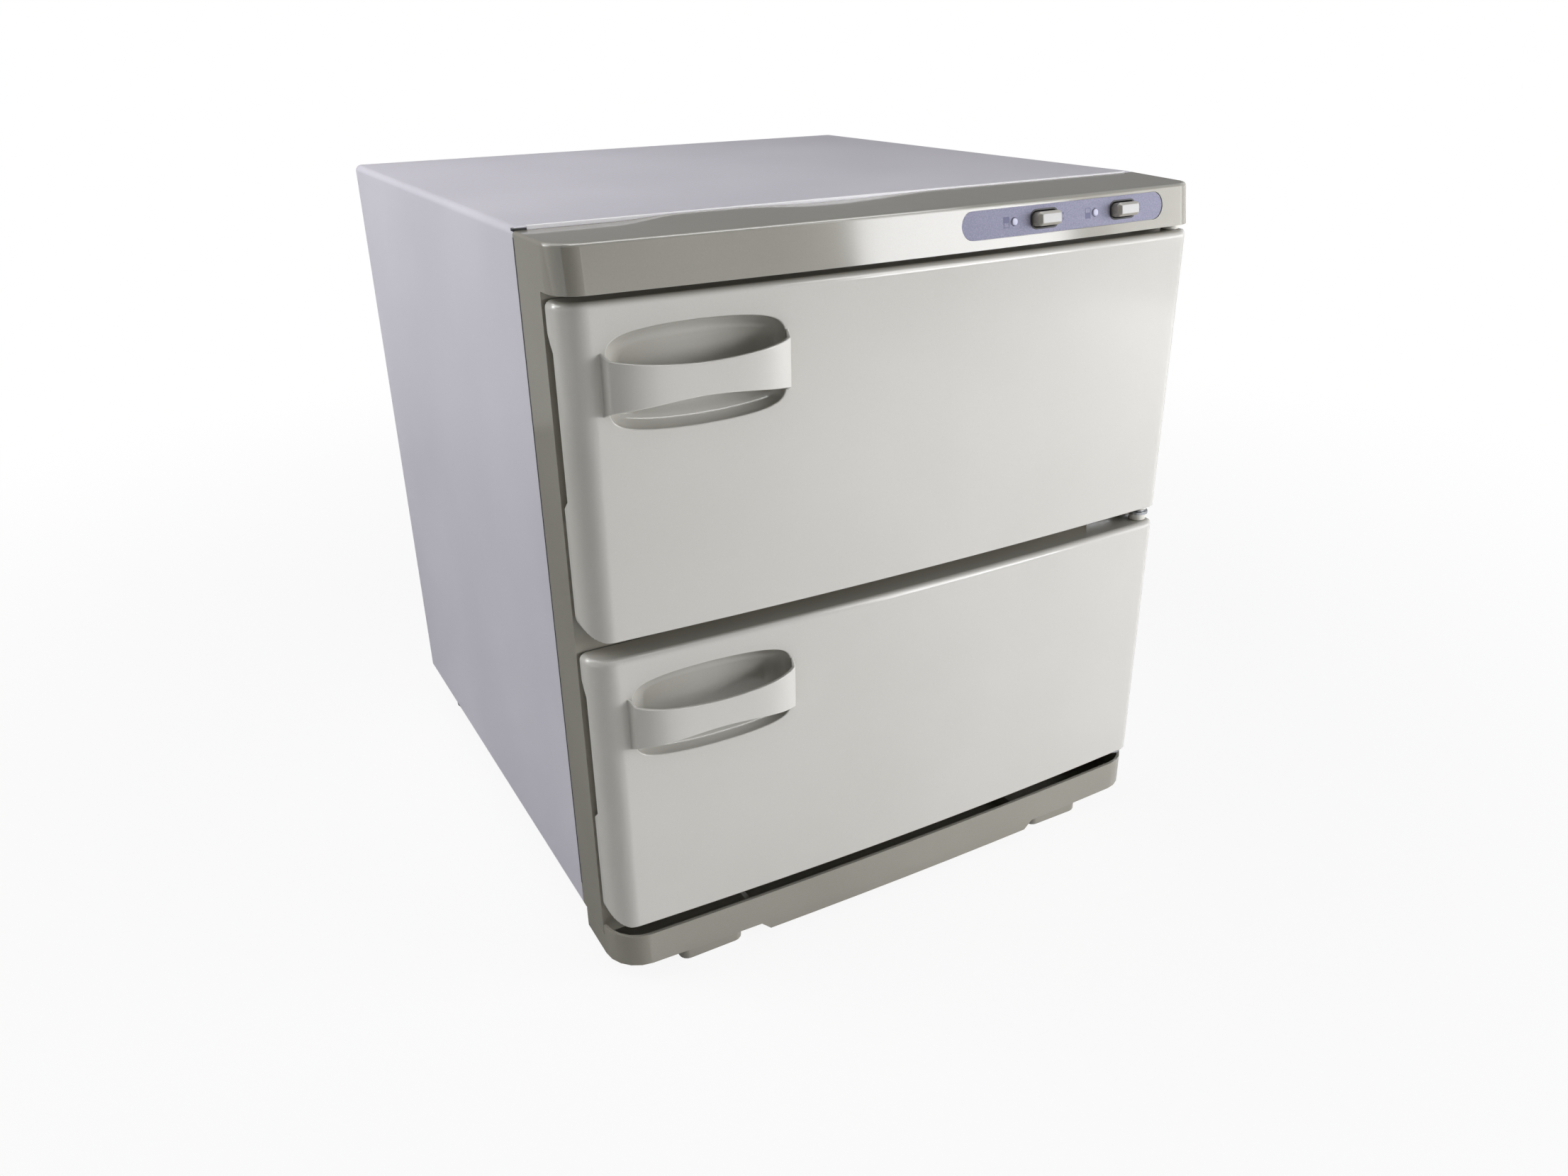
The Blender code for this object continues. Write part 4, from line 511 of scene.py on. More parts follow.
# doors: bowed plan outlines stacked up the height, a scooped pocket and a bowed strap over it
doorSet = {
    "thick": 0.020, "bow": 0.0065, "halfWidth": 0.225, "latchRound": 0.017, "topRound": 0.0045,
    "lowRound": 0.0009, "latchCorner": 0.014, "hingeCorner": 0.0045, "over": 0.002,
    "wall": 0.003, "latchBlock": 0.018, "hingeBlock": 0.015, "corner": 0.005,
    "pocketWidth": 0.1072, "pocketHeight": 0.0590, "pocketDepth": 0.014, "pocketWall": 0.0025,
    "pocketRim": 0.0008, "pocketPower": 7.0, "pocketArch": 0.149, "pocketCrowd": 0.22,
    "fromLatch": 0.0770, "fromTop": 0.0445,
    "strapBow": 0.015, "strapThick": 0.0026, "strapThin": 0.0010, "strapEnd": 0.0356, "strapMiddle": 0.0185,
    "strapWaist": 1.7, "strapFlare": 0.0064, "strapRise": 0.010, "strapShoulder": 0.0054,
    "strapCorner": 0.0036, "strapWall": 74, "strapLean": 35, "strapEdge": 0.0007, "strapFillet": 0.0014,
    "strapSink": 0.0002, "strapReach": 0.0562, "strapShift": -0.0009,
    "notchTop": 0.0165, "notchLength": 0.101, "notchDepth": 0.0055, "notchReach": 0.009,
    "bushRadius": 0.0053, "bushDepth": 0.0123,
}


def bowAt(x):
    # how far the front stands ahead of its ends
    return doorSet["bow"] * max(0.0, 1 - (x / doorSet["halfWidth"]) ** 2)


def doorRing(span, z):
    s = doorSet
    low, high = span
    rear = high.y
    face = rear - s["thick"]
    up, down = z - low.z, high.z - z
    nose = s["thick"] / 2
    axis = high.x - nose
    inset = max(edgeInset(s["topRound"], down), edgeInset(s["lowRound"], up))
    latch = low.x + max(inset, edgeInset(s["latchCorner"], up))
    hinge = high.x - edgeInset(s["hingeCorner"], min(up, down))
    points = [Vector((latch, rear, z))]
    for step in range(13):
        turn = math.pi * (1 + 0.5 * step / 12)
        radius = s["latchRound"] - inset
        x = low.x + s["latchRound"] + radius * math.cos(turn)
        points.append(Vector((max(x, latch), face + s["latchRound"] + radius * math.sin(turn) - bowAt(x), z)))
    left = low.x + s["latchRound"]
    for step in range(1, 40):
        x = left + (axis - left) * step / 40
        points.append(Vector((x, face + inset - bowAt(x), z)))
    for step in range(21):
        turn = math.pi * (step / 20 - 0.5)
        reach = nose - inset + bowAt(axis) if step < 10 else nose
        x = min(axis + nose * math.cos(turn), hinge)
        points.append(Vector((x, rear - nose + reach * math.sin(turn), z)))
    return points


def pocketForm(name, centre, face, stations, steps):
    s = doorSet
    rings = []
    for depth, draw in stations:
        half = s["pocketWidth"] / 2 - draw, s["pocketHeight"] / 2 - draw
        outline = archedOutline(*half, s["pocketPower"], s["pocketArch"], s["pocketCrowd"], steps)
        outline = [(centre[0] + a, centre[1] + b) for a, b in outline]
        rings.append([Vector((x, face - bowAt(x) + depth, z)) for x, z in outline])
    return skin(name, rings)


def strapHalf():
    # half of the band's plan, from its root to its middle:
    # fillet, leaning end wall, corner and a long easy crown
    s = doorSet
    reach, fillet, corner = s["strapReach"], s["strapFillet"], s["strapCorner"]
    wall, lean = math.radians(s["strapWall"]), math.radians(s["strapLean"])
    foot = fillet * (1 - math.cos(wall))
    middle = reach - foot / math.tan(wall) + fillet * math.sin(wall)
    half = []
    for step in range(7):
        turn = wall * step / 6
        half.append((middle - fillet * math.sin(turn), fillet * (1 - math.cos(turn)) - s["strapSink"], turn))
    top = reach - s["strapShoulder"] / math.tan(wall)
    for step in range(9):
        turn = wall + (lean - wall) * step / 8
        half.append((top - corner * (math.sin(wall) - math.sin(turn)),
                     s["strapShoulder"] + corner * (math.cos(turn) - math.cos(wall)), turn))
    start, rise = half[-1][0], s["strapBow"] - half[-1][1]
    power = math.tan(lean) * start / rise
    stations = 26
    for station in range(1, stations + 1):
        share = 1 - station / stations
        slope = math.atan(math.tan(lean) * share ** (power - 1))
        half.append((start * share, s["strapBow"] - rise * share ** power, slope))
    return half


def strapForm(centre, face):
    # the band stands out of the door on two end walls, wide at its roots and waisted in the middle
    s = doorSet
    half = strapHalf()
    line = [(-x, out, -turn) for x, out, turn in half] + half[-2::-1]
    rings = []
    for x, out, turn in line:
        y = face - bowAt(centre[0] + x) - out
        near = max(0.0, 1 - max(out, 0.0) / s["strapRise"]) ** 2
        share = min(abs(x / s["strapReach"]), 1.0) ** s["strapWaist"]
        widen = (s["strapEnd"] - s["strapFlare"] - s["strapMiddle"]) * share
        tall = (s["strapMiddle"] + widen + s["strapFlare"] * near) / 2
        section = roundedOutline(s["strapThin"] * near - s["strapThick"], 0, -tall, tall, s["strapEdge"], 4)
        across, along = math.sin(turn), math.cos(turn)
        rings.append([Vector((centre[0] + x + across * a, y - along * a, centre[1] + b)) for a, b in section])
    return skin("strap", rings)


def hollowForm(span):
    # the room behind the door's face, which follows the bow
    s = doorSet
    low, high = span
    rear = high.y
    inside = rear - s["thick"] + s["wall"]
    x0, x1 = low.x + s["latchBlock"], high.x - s["thick"] / 2 - s["hingeBlock"]
    z0, z1 = low.z + s["wall"], high.z - s["wall"]
    outline = roundedOutline(x0, x1, z0, z1, s["corner"], 6)
    hollow = skin("hollow", [[Vector((a, y, b)) for a, b in outline] for y in (inside, rear + s["over"])])
    x0, x1, z0, z1 = x0 + s["corner"], x1 - s["corner"], z0 + s["corner"], z1 - s["corner"]
    row = [x0 + (x1 - x0) * step / 16 for step in range(17)]
    plan = [(x, inside - (bowAt(x) if x0 < x < x1 else 0.0)) for x in row]
    plan += [(x1, inside + s["over"]), (x0, inside + s["over"])]
    carve(hollow, skin("bowedHollow", [[Vector((a, b, z)) for a, b in plan] for z in (z0, z1)]), "UNION")
    return hollow


def makeDoor(level):
    s = doorSet
    node = level + "_door_shell"
    low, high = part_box(node)
    rear, over = high.y, s["over"]
    face = rear - s["thick"]
    rise = arcLevels(s["lowRound"], 5) + arcLevels(s["latchCorner"], 16)[5:]
    fall = reversed(arcLevels(s["topRound"], 9))
    heights = [low.z + up for up in rise] + [high.z - down for down in fall]
    door = skin(node + "_finished", [doorRing((low, high), z) for z in heights])
    centre = (low.x + s["fromLatch"], high.z - s["fromTop"])
    depth, wall, lip = s["pocketDepth"], s["pocketWall"], s["pocketRim"]
    scoopTurns = [0.5 * math.pi * step / 16 for step in range(2, 16)]
    scoop = [(depth * math.sin(t), depth * (1 - math.cos(t))) for t in scoopTurns]
    backed = [(lip, -wall)] + [(deep + wall, draw - wall) for deep, draw in scoop[::4]]
    hollow = hollowForm((low, high))
    carve(hollow, pocketForm("pocketWall", centre, face, backed, 40))
    carve(door, hollow)
    rimTurns = [0.5 * math.pi * step / 6 for step in range(7)]
    rim = [(lip * (1 - math.cos(t)), -lip * (1 - math.sin(t))) for t in rimTurns]
    carve(door, pocketForm("pocket", centre, face, [(-over, -lip)] + rim + scoop, 112))
    carve(door, strapForm((centre[0] + s["strapShift"], centre[1]), face), "UNION")
    top = high.z - s["notchTop"]
    foot = top - s["notchLength"]
    deep = rear - s["notchDepth"]
    relief = [
        (rear + over, foot - over), (deep, foot + s["notchDepth"]), (deep, top - s["notchDepth"] * 2),
        (rear + over, top + over),
    ]
    ends = low.x - over, low.x + s["notchReach"]
    carve(door, skin("notch", [[Vector((x, a, b)) for a, b in relief] for x in ends]))
    axisX, axisY = high.x - s["thick"] / 2, rear - s["thick"] / 2
    turns = [math.pi * step / 16 for step in range(32)]
    ring = [(axisX + s["bushRadius"] * math.cos(t), axisY + s["bushRadius"] * math.sin(t)) for t in turns]
    for ends in ((low.z - over, low.z + s["bushDepth"]), (high.z - s["bushDepth"], high.z + over)):
        carve(door, skin("socket", [[Vector((a, b, z)) for a, b in ring] for z in ends]))
    settle(door, 50)
    return place(door, bodyOf[node], "white_moulding", node)


for level in ("upper", "lower"):
    makeDoor(level)
    dress(level + "_door_liner", "white_moulding", 0.0006, 3)
    dress(level + "_door_gasket", "seal_rubber", 0.0002)
    dress(level + "_strike_plate", "plain_steel", 0.0002)
    dress(level + "_bush_top", "nylon", 0.0003)
    dress(level + "_bush_bottom", "nylon", 0.0003)
print("doors finished")

# header: its lower edge is rounded, and its top swells up to the wrap's hem in two long places
headerSet = {
    "height": 0.026, "gap": 0.0003, "overhang": 0.039, "lowEdge": 0.0008, "hinge": (0.213, -0.21691),
    "pinClear": 0.008, "steep": 0.4, "level": 0.98, "swell": 0.0016, "rise": (-0.168, -0.126),
    "fall": (-0.088, -0.035), "dip": 0.8, "again": (-0.020, 0.055), "stations": 30,
}


def ease(span, x):
    t = min(max((x - span[0]) / (span[1] - span[0]), 0.0), 1.0)
    return t * t * (3 - 2 * t)


def shapeFrame(bm):
    s = headerSet
    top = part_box("front_frame")[1].z
    bottom = top - s["height"]
    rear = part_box("outer_shell")[0].y - s["gap"]
    hinge = Vector(s["hinge"])
    lowEdges = []
    for edge in bm.edges:
        if all(abs(v.co.z - bottom) < 1e-5 and (v.co.xy - hinge).length > s["pinClear"] for v in edge.verts):
            flats = [abs(face.normal.z) for face in edge.link_faces]
            ahead = all(v.co.y < rear - s["overhang"] for v in edge.verts)
            if ahead and min(flats) < s["steep"] and max(flats) > s["level"]:
                lowEdges.append(edge)
    bmesh.ops.bevel(
        bm, geom=lowEdges, offset=s["lowEdge"], segments=3, profile=0.5, affect="EDGES", clamp_overlap=True,
    )
    start, end = s["rise"][0], s["again"][1]
    for station in range(s["stations"] + 1):
        x = start + (end - start) * station / s["stations"]
        flat = [face for face in bm.faces if all(v.co.z > top - 1e-5 for v in face.verts)]
        around = list({v for face in flat for v in face.verts})
        around += list({edge for face in flat for edge in face.edges})
        bmesh.ops.bisect_plane(bm, geom=flat + around, dist=1e-6, plane_co=(x, 0, 0), plane_no=(1, 0, 0))
    for v in bm.verts:
        if abs(v.co.z - top) < 1e-5 and abs(v.co.y - rear) < 1e-4:
            dip = s["dip"] * (ease(s["fall"], v.co.x) - ease(s["again"], v.co.x))
            v.co.z += s["swell"] * (ease(s["rise"], v.co.x) - dip)


# sheet wrap, frame, tray and feet
dress("outer_shell", "shell_paint", 0.00025, 2, 50)
dress("front_frame", "grey_moulding", 0.0003, 2, 40, shapeFrame)
dress("drip_tray", "grey_moulding", 0.0006, 3, 30)
for side in ("left", "right"):
    dress("front_foot_" + side, "grey_moulding", 0.0005, 3)
    dress("rear_foot_" + side, "black_rubber", 0.0008, 3, 30)


# folded front edge of the wrap in a lighter copy of its paint, a painted highlight, with dark blocks of
# painted shade in its open ends and a dark line of painted shade down each side of the frame
hemSet = {
    "end": 0.0085, "ahead": 0.0002, "thick": 0.0024, "tall": 0.0026, "above": 0.0003, "round": 0.0009,
    "plug": 0.0017, "plugInset": 0.0004, "plugDeep": 0.00384, "plugEdge": 0.0003,
    "shadeStrip": 0.0018, "shadeStripDeep": 0.0006, "shadeStripProud": 0.00005, "shadeStripFrom": 0.017, "shadeStripTo": 0.0055,
}


def makeHem():
    s = hemSet
    low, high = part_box("outer_shell")
    body = bodyOf["outer_shell"]
    front, foot = low.y - s["ahead"], high.z - s["tall"]
    section = roundedOutline(front, low.y + s["thick"], foot, high.z + s["above"], s["round"], 5)
    ends = low.x + s["end"], high.x - s["end"]
    hem = skin("shell_hem", [[Vector((x, a, b)) for a, b in section] for x in ends])
    settle(hem)
    place(hem, body, "hem_painted_highlight")
    # black blocks in the hem's open ends: painted shade where the hollow of the fold would be dark
    bm = bmesh.new()
    for x0, x1 in ((low.x + s["plugInset"], ends[0]), (ends[1], high.x - s["plugInset"])):
        addBox(bm, (x0, front, foot), (x1, front + s["plugDeep"], foot + s["plug"]))
    plugs = meshPiece("hem_plugs", bm)
    soften(plugs, s["plugEdge"])
    settle(plugs)
    place(plugs, body, "black_rubber")
    # a black strip down each side of the frame: painted shade of the gap between wrap and frame
    bm = bmesh.new()
    inward = s["shadeStripDeep"] - s["shadeStripProud"]
    for x0, x1 in ((low.x - s["shadeStripProud"], low.x + inward), (high.x - inward, high.x + s["shadeStripProud"])):
        addBox(bm, (x0, low.y - s["shadeStrip"], low.z + s["shadeStripFrom"]), (x1, low.y, high.z - s["shadeStripTo"]))
    shadeStrips = meshPiece("shell_seams", bm)
    settle(shadeStrips)
    place(shadeStrips, body, "black_rubber")


makeHem()
dress("rear_panel", "shell_paint", 0.0002)
dress("base_plate", "plain_steel", 0.0002)
dress("cord_gland", "black_rubber", 0.0006, 3)
print("cabinet dressed")

# control strip, laid out on the header's leaning face
stripSet = {
    "lean": 0.004, "rise": 0.0014, "switches": {"left": 0.0907, "right": 0.1566}, "lampAhead": 0.0241,
    "capLength": 0.0193, "capHeight": 0.0086, "capCorner": 0.0028, "capProud": 0.0065, "capStem": 0.012,
    "padInset": (0.0021, 0.0015), "padCorner": 0.0008, "shoulder": 0.0024,
    "shoulderShares": ((1.0, 0.0), (0.8, 0.05), (0.62, 0.18), (0.16, 0.86), (0.05, 0.95), (0.0, 1.0)),
    "padSteps": ((-0.0006, 0.0002), (0.0001, 0.0002), (0.0003, 0.0004)),
    "slotShade": (
        (0.00175, -0.0008), (0.00175, -0.0003), (0.00085, -0.0003), (0.00025, -0.0012), (0.00025, -0.004),
    ),
    "filmFace": -0.00045, "filmDrop": 0.0003, "ink": 0.00006, "iconAhead": 0.0061, "icon": (0.0044, 0.0064),
    "iconLine": 0.00035, "wordPast": 0.0118, "wordSize": 0.0024, "wordStep": 0.0017, "wordDrop": 0.00072,
}
frameLow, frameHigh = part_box("front_frame")
faceUp = Vector((0, stripSet["lean"], headerSet["height"])).normalized()
faceOut = Vector((1, 0, 0)).cross(faceUp)
faceMiddle = Vector((
    0, frameLow.y + doorSet["bow"] + stripSet["lean"] / 2, frameHigh.z - headerSet["height"] / 2,
))


def onFace(x, up, out):
    return faceMiddle + Vector((x, -bowAt(x), 0)) + faceUp * (stripSet["rise"] + up) + faceOut * out


def faceRing(x, out, half, corner, steps):
    outline = roundedOutline(-half[0], half[0], -half[1], half[1], corner, steps)
    return [onFace(x + u, v, out) for u, v in outline]


def makeCap(side, x):
    # straight sides, a soft shoulder and a raised pad with cut corners
    s = stripSet
    node = "switch_cap_" + side
    proud, inset = s["capProud"], s["padInset"]
    halfCap = s["capLength"] / 2, s["capHeight"] / 2
    profile = [(-s["capStem"], 0.0)]
    profile += [(proud - s["shoulder"] * below, share) for below, share in s["shoulderShares"]]
    rings = []
    for out, share in profile:
        half = [size - draw * share for size, draw in zip(halfCap, inset)]
        corner = s["capCorner"] + (s["padCorner"] - s["capCorner"]) * share
        rings.append(faceRing(x, out, half, corner, 4))
    cap = skin(node + "_finished", rings)
    settle(cap, 28)
    place(cap, bodyOf[node], "cap_plastic", node)
    # the raised pad takes a lighter copy of the cap's plastic, a painted highlight on the cap's front
    rings = []
    for out, step in s["padSteps"]:
        half = [size - draw - step for size, draw in zip(halfCap, inset)]
        rings.append(faceRing(x, proud + out, half, s["padCorner"], 4))
    pad = skin("switch_pad_" + side, rings)
    settle(pad, 28)
    return place(pad, bodyOf[node], "cap_pad_painted_highlight")


def makeSlotShade(side, x):
    # dark surround down in the cap's slot: painted shade in the gap round the cap
    s = stripSet
    bm = bmesh.new()
    loops = []
    for gap, out in s["slotShade"]:
        half = s["capLength"] / 2 + gap, s["capHeight"] / 2 + gap
        loops.append([bm.verts.new(point) for point in faceRing(x, out, half, s["capCorner"] + gap, 5)])
    for first, second in zip(loops, loops[1:] + loops[:1]):
        for i in range(len(first)):
            bm.faces.new((first[i - 1], first[i], second[i], second[i - 1]))
    slotShade = meshPiece("cap_collar_" + side, bm)
    settle(slotShade)
    return place(slotShade, bodyOf["control_label"], "switch_black")


def lowerFilm(bm):
    bmesh.ops.translate(bm, verts=bm.verts, vec=faceOut * -stripSet["filmDrop"])


def inkBar(bm, x0, x1, up0, up1):
    s = stripSet
    corners = [(x0, up0), (x1, up0), (x1, up1), (x0, up1)]
    sides = s["filmFace"], s["filmFace"] + s["ink"]
    low, high = ([bm.verts.new(onFace(x, up, out)) for x, up in corners] for out in sides)
    bm.faces.new(low)
    bm.faces.new(high)
    for i in range(4):
        bm.faces.new((low[i], low[i - 1], high[i - 1], high[i]))


def inkWord(bm, word, x, up):
    s = stripSet
    curve = bpy.data.curves.new(word, "FONT")
    curve.body, curve.size, curve.extrude = word, s["wordSize"], s["ink"] / 2
    curve.resolution_u = 3
    text = bpy.data.objects.new(word, curve)
    scene.collection.objects.link(text)
    mesh = bpy.data.meshes.new_from_object(text.evaluated_get(bpy.context.evaluated_depsgraph_get()))
    for vertex in mesh.vertices:
        vertex.co = onFace(x + vertex.co.x, up + vertex.co.y, s["filmFace"] + s["ink"] / 2 + vertex.co.z)
    bm.from_mesh(mesh)
    bpy.data.objects.remove(text, do_unlink=True)
    bpy.data.meshes.remove(mesh)


def makeMarks():
    # two stacked boxes before each lamp, the heated one filled, and plain words past each cap
    s = stripSet
    bm = bmesh.new()
    for side, x in s["switches"].items():
        centre = x - s["lampAhead"] - s["iconAhead"]
        wide, tall = s["icon"][0] / 2, s["icon"][1] / 2
        line = s["iconLine"]
        for filled, low, high in ((side == "right", -tall, 0.0), (side == "left", 0.0, tall)):
            if filled:
                inkBar(bm, centre - wide, centre + wide, low, high)
                continue
            inkBar(bm, centre - wide, centre - wide + line, low, high)
            inkBar(bm, centre + wide - line, centre + wide, low, high)
            for up in (low, high - line):
                inkBar(bm, centre - wide + line, centre + wide - line, up, up + line)
        for word, up in (("ON", s["wordStep"]), ("OFF", -s["wordStep"])):
            inkWord(bm, word, x + s["wordPast"], up - s["wordDrop"])
    return place(meshPiece("control_marks", bm), bodyOf["control_label"], "label_ink")


dress("control_label", "label_film", 0.00012, shape=lowerFilm)
for side, x in stripSet["switches"].items():
    dress("lamp_lens_" + side, "lamp_lens", 0.0002, 3, 20)
    makeCap(side, x)
    makeSlotShade(side, x)
makeMarks()
print("controls dressed")

# hinges, catches and chambers
for name in ("bracket_middle", "bracket_bottom", "pin_top", "pin_middle", "pin_bottom", "washer_middle"):
    dress("hinge_" + name, "plain_steel", 0.0002)
for level in ("upper", "lower"):
    dress(level + "_liner", "liner_aluminium", 0.0003)
    dress(level + "_catch_magnet", "magnet_ferrite", 0.0003)
print("chambers dressed")


# node trees for what repeats
def newTree(name, inputs):
    tree = bpy.data.node_groups.new(name, "GeometryNodeTree")
    tree.interface.new_socket("Geometry", in_out="OUTPUT", socket_type="NodeSocketGeometry")
    for label, kind in inputs:
        tree.interface.new_socket(label, in_out="INPUT", socket_type="NodeSocket" + kind)
    return tree, addNode(tree, "NodeGroupInput", -900, 0)


def feed(tree, node, **sources):
    # values and links for a node's inputs, by name
    for label, source in sources.items():
        socket = node.inputs[label.replace("_", " ")]
        if isinstance(source, bpy.types.NodeSocket):
            tree.links.new(source, socket)
        else:
            socket.default_value = source
    return node.outputs[0]


def grow(tree, kind, x, y, **sources):
    return feed(tree, addNode(tree, "GeometryNode" + kind, x, y), **sources)


def spot(tree, x, y, across=0.0, along=0.0, up=0.0):
    return feed(tree, addNode(tree, "ShaderNodeCombineXYZ", x, y), X=across, Y=along, Z=up)


def closeTree(tree, into, geometry):
    placed = grow(tree, "Transform", 500, 0, Geometry=geometry, Translation=into.outputs["Place"],
                  Rotation=into.outputs["Turn"])
    real = grow(tree, "RealizeInstances", 700, 0, Geometry=placed)
    done = grow(tree, "SetMaterial", 900, 0, Geometry=real, Material=into.outputs["Finish"])
    tree.links.new(done, addNode(tree, "NodeGroupOutput", 1100, 0).inputs[0])
    return tree


def runTree(name, tree, body, finish, values, *replaced):
    piece = bpy.data.objects.new(name, bpy.data.meshes.new(name))
    scene.collection.objects.link(piece)
    modifier = piece.modifiers.new(name, "NODES")
    modifier.node_group = tree
    values = {"Finish": materials[finish], "Turn": (0.0, 0.0, 0.0), **values}
    for item in tree.interface.items_tree:
        if item.in_out == "INPUT":
            modifier[item.identifier] = values[item.name]
    bake(piece)
    settle(piece)
    return place(piece, body, finish, *replaced)


placing = [("Place", "Vector"), ("Turn", "Rotation"), ("Finish", "Material")]


def rackTree():
    # parallel wires laid on cross bearers
    tree, into = newTree("towel rack", [
        ("Wire Radius", "Float"), ("Wire Length", "Float"), ("Wires", "Int"), ("Wire Span", "Float"),
        ("Wire Lift", "Float"), ("Bearer Radius", "Float"), ("Bearer Length", "Float"), ("Bearers", "Int"),
        ("Bearer Span", "Float"), *placing,
    ])
    get = into.outputs
    join = addNode(tree, "GeometryNodeJoinGeometry", 300, 0)
    for label, y, axis, across, lift in (
        ("Wire", 300, "along", "across", {"up": get["Wire Lift"]}), ("Bearer", -300, "across", "along", {}),
    ):
        half = addMath(tree, "MULTIPLY", -650, y, get[label + " Length"], 0.5)
        back = addMath(tree, "MULTIPLY", -650, y - 150, get[label + " Length"], -0.5)
        line = grow(tree, "CurvePrimitiveLine", -300, y, Start=spot(tree, -450, y, **{axis: back}),
                    End=spot(tree, -450, y - 150, **{axis: half}))
        profile = grow(tree, "CurvePrimitiveCircle", -300, y - 150, Resolution=14,
                       Radius=get[label + " Radius"])
        rod = grow(tree, "CurveToMesh", -100, y, Curve=line, Profile_Curve=profile, Fill_Caps=True)
        first = addMath(tree, "MULTIPLY", -650, y - 300, get[label + " Span"], -0.5)
        gaps = addMath(tree, "SUBTRACT", -650, y - 450, get[label + "s"], 1.0)
        pitch = addMath(tree, "DIVIDE", -500, y - 300, get[label + " Span"], gaps)
        points = grow(tree, "MeshLine", -100, y - 200, Count=get[label + "s"],
                      Start_Location=spot(tree, -300, y - 300, **{across: first}, **lift),
                      Offset=spot(tree, -300, y - 450, **{across: pitch}))
        row = grow(tree, "InstanceOnPoints", 100, y, Points=points, Instance=rod)
        tree.links.new(row, join.inputs[0])
    return closeTree(tree, into, join.outputs[0])


def onGrid(tree, into, instance):
    # two columns, each with as many rows as asked for
    get = into.outputs
    points = grow(tree, "MeshGrid", -100, -300, Size_X=get["Width"], Size_Y=get["Length"], Vertices_X=2,
                  Vertices_Y=get["Rows"])
    row = grow(tree, "InstanceOnPoints", 200, 0, Points=points, Instance=instance)
    return closeTree(tree, into, row)


screwShares = {"top": 0.66, "slot": 0.22, "bite": 1.1}


def screwTree():
    # pan heads with a crossed recess
    tree, into = newTree("screw columns", [
        ("Radius", "Float"), ("Height", "Float"), ("Width", "Float"), ("Length", "Float"), ("Rows", "Int"),
        *placing,
    ])
    radius, height = into.outputs["Radius"], into.outputs["Height"]
    top = addMath(tree, "MULTIPLY", -700, 200, radius, screwShares["top"])
    head = grow(tree, "MeshCone", -500, 200, Vertices=24, Depth=height, Radius_Bottom=radius, Radius_Top=top)
    thin = addMath(tree, "MULTIPLY", -700, -150, radius, screwShares["slot"])
    cut = addNode(tree, "GeometryNodeMeshBoolean", -100, 150, operation="DIFFERENCE", solver="EXACT")
    tree.links.new(head, cut.inputs["Mesh 1"])
    for y, across, along in ((-50, radius, thin), (-250, thin, radius)):
        bar = grow(tree, "MeshCube", -350, y, Size=spot(tree, -520, y, across, along, height))
        rise = addMath(tree, "MULTIPLY", -700, y - 100, height, screwShares["bite"])
        lift = spot(tree, -520, y - 100, up=rise)
        lifted = grow(tree, "Transform", -220, y, Geometry=bar, Translation=lift)
        tree.links.new(lifted, cut.inputs["Mesh 2"])
    return onGrid(tree, into, cut.outputs[0])


def ventTree():
    # a rolled lip round every slot, whose ends are all but half round
    tree, into = newTree("vent lips", [
        ("Slot Length", "Float"), ("Slot Width", "Float"), ("Lip", "Float"), ("Width", "Float"),
        ("Length", "Float"), ("Rows", "Int"), *placing,
    ])
    get = into.outputs
    outline = addNode(tree, "GeometryNodeCurvePrimitiveQuadrilateral", -500, 200, mode="RECTANGLE")
    outline = feed(tree, outline, Width=get["Slot Length"], Height=get["Slot Width"])
    radius = addMath(tree, "MULTIPLY", -500, 0, get["Slot Width"], 0.49)
    fillet = addNode(tree, "GeometryNodeFilletCurve", -300, 200, mode="POLY")
    ends = feed(tree, fillet, Curve=outline, Count=6, Limit_Radius=True, Radius=radius)
    profile = grow(tree, "CurvePrimitiveCircle", -300, 0, Resolution=8, Radius=get["Lip"])
    lip = grow(tree, "CurveToMesh", -100, 200, Curve=ends, Profile_Curve=profile)
    return onGrid(tree, into, lip)


repeatSet = {
    "rack": {"wire": 0.0015, "bearer": 0.0020, "wires": 9, "bearers": 2, "edge": 0.004, "inset": 0.020},
    "screws": {"radius": 0.0034, "height": 0.0018, "rows": 4, "edge": 0.0075, "end": 0.030, "sink": 0.0001},
    "vents": {
        "length": 0.060, "width": 0.004, "lip": 0.0005, "apart": 0.200, "pitch": 0.016, "rows": 6,
        "above": 0.330,
    },
}


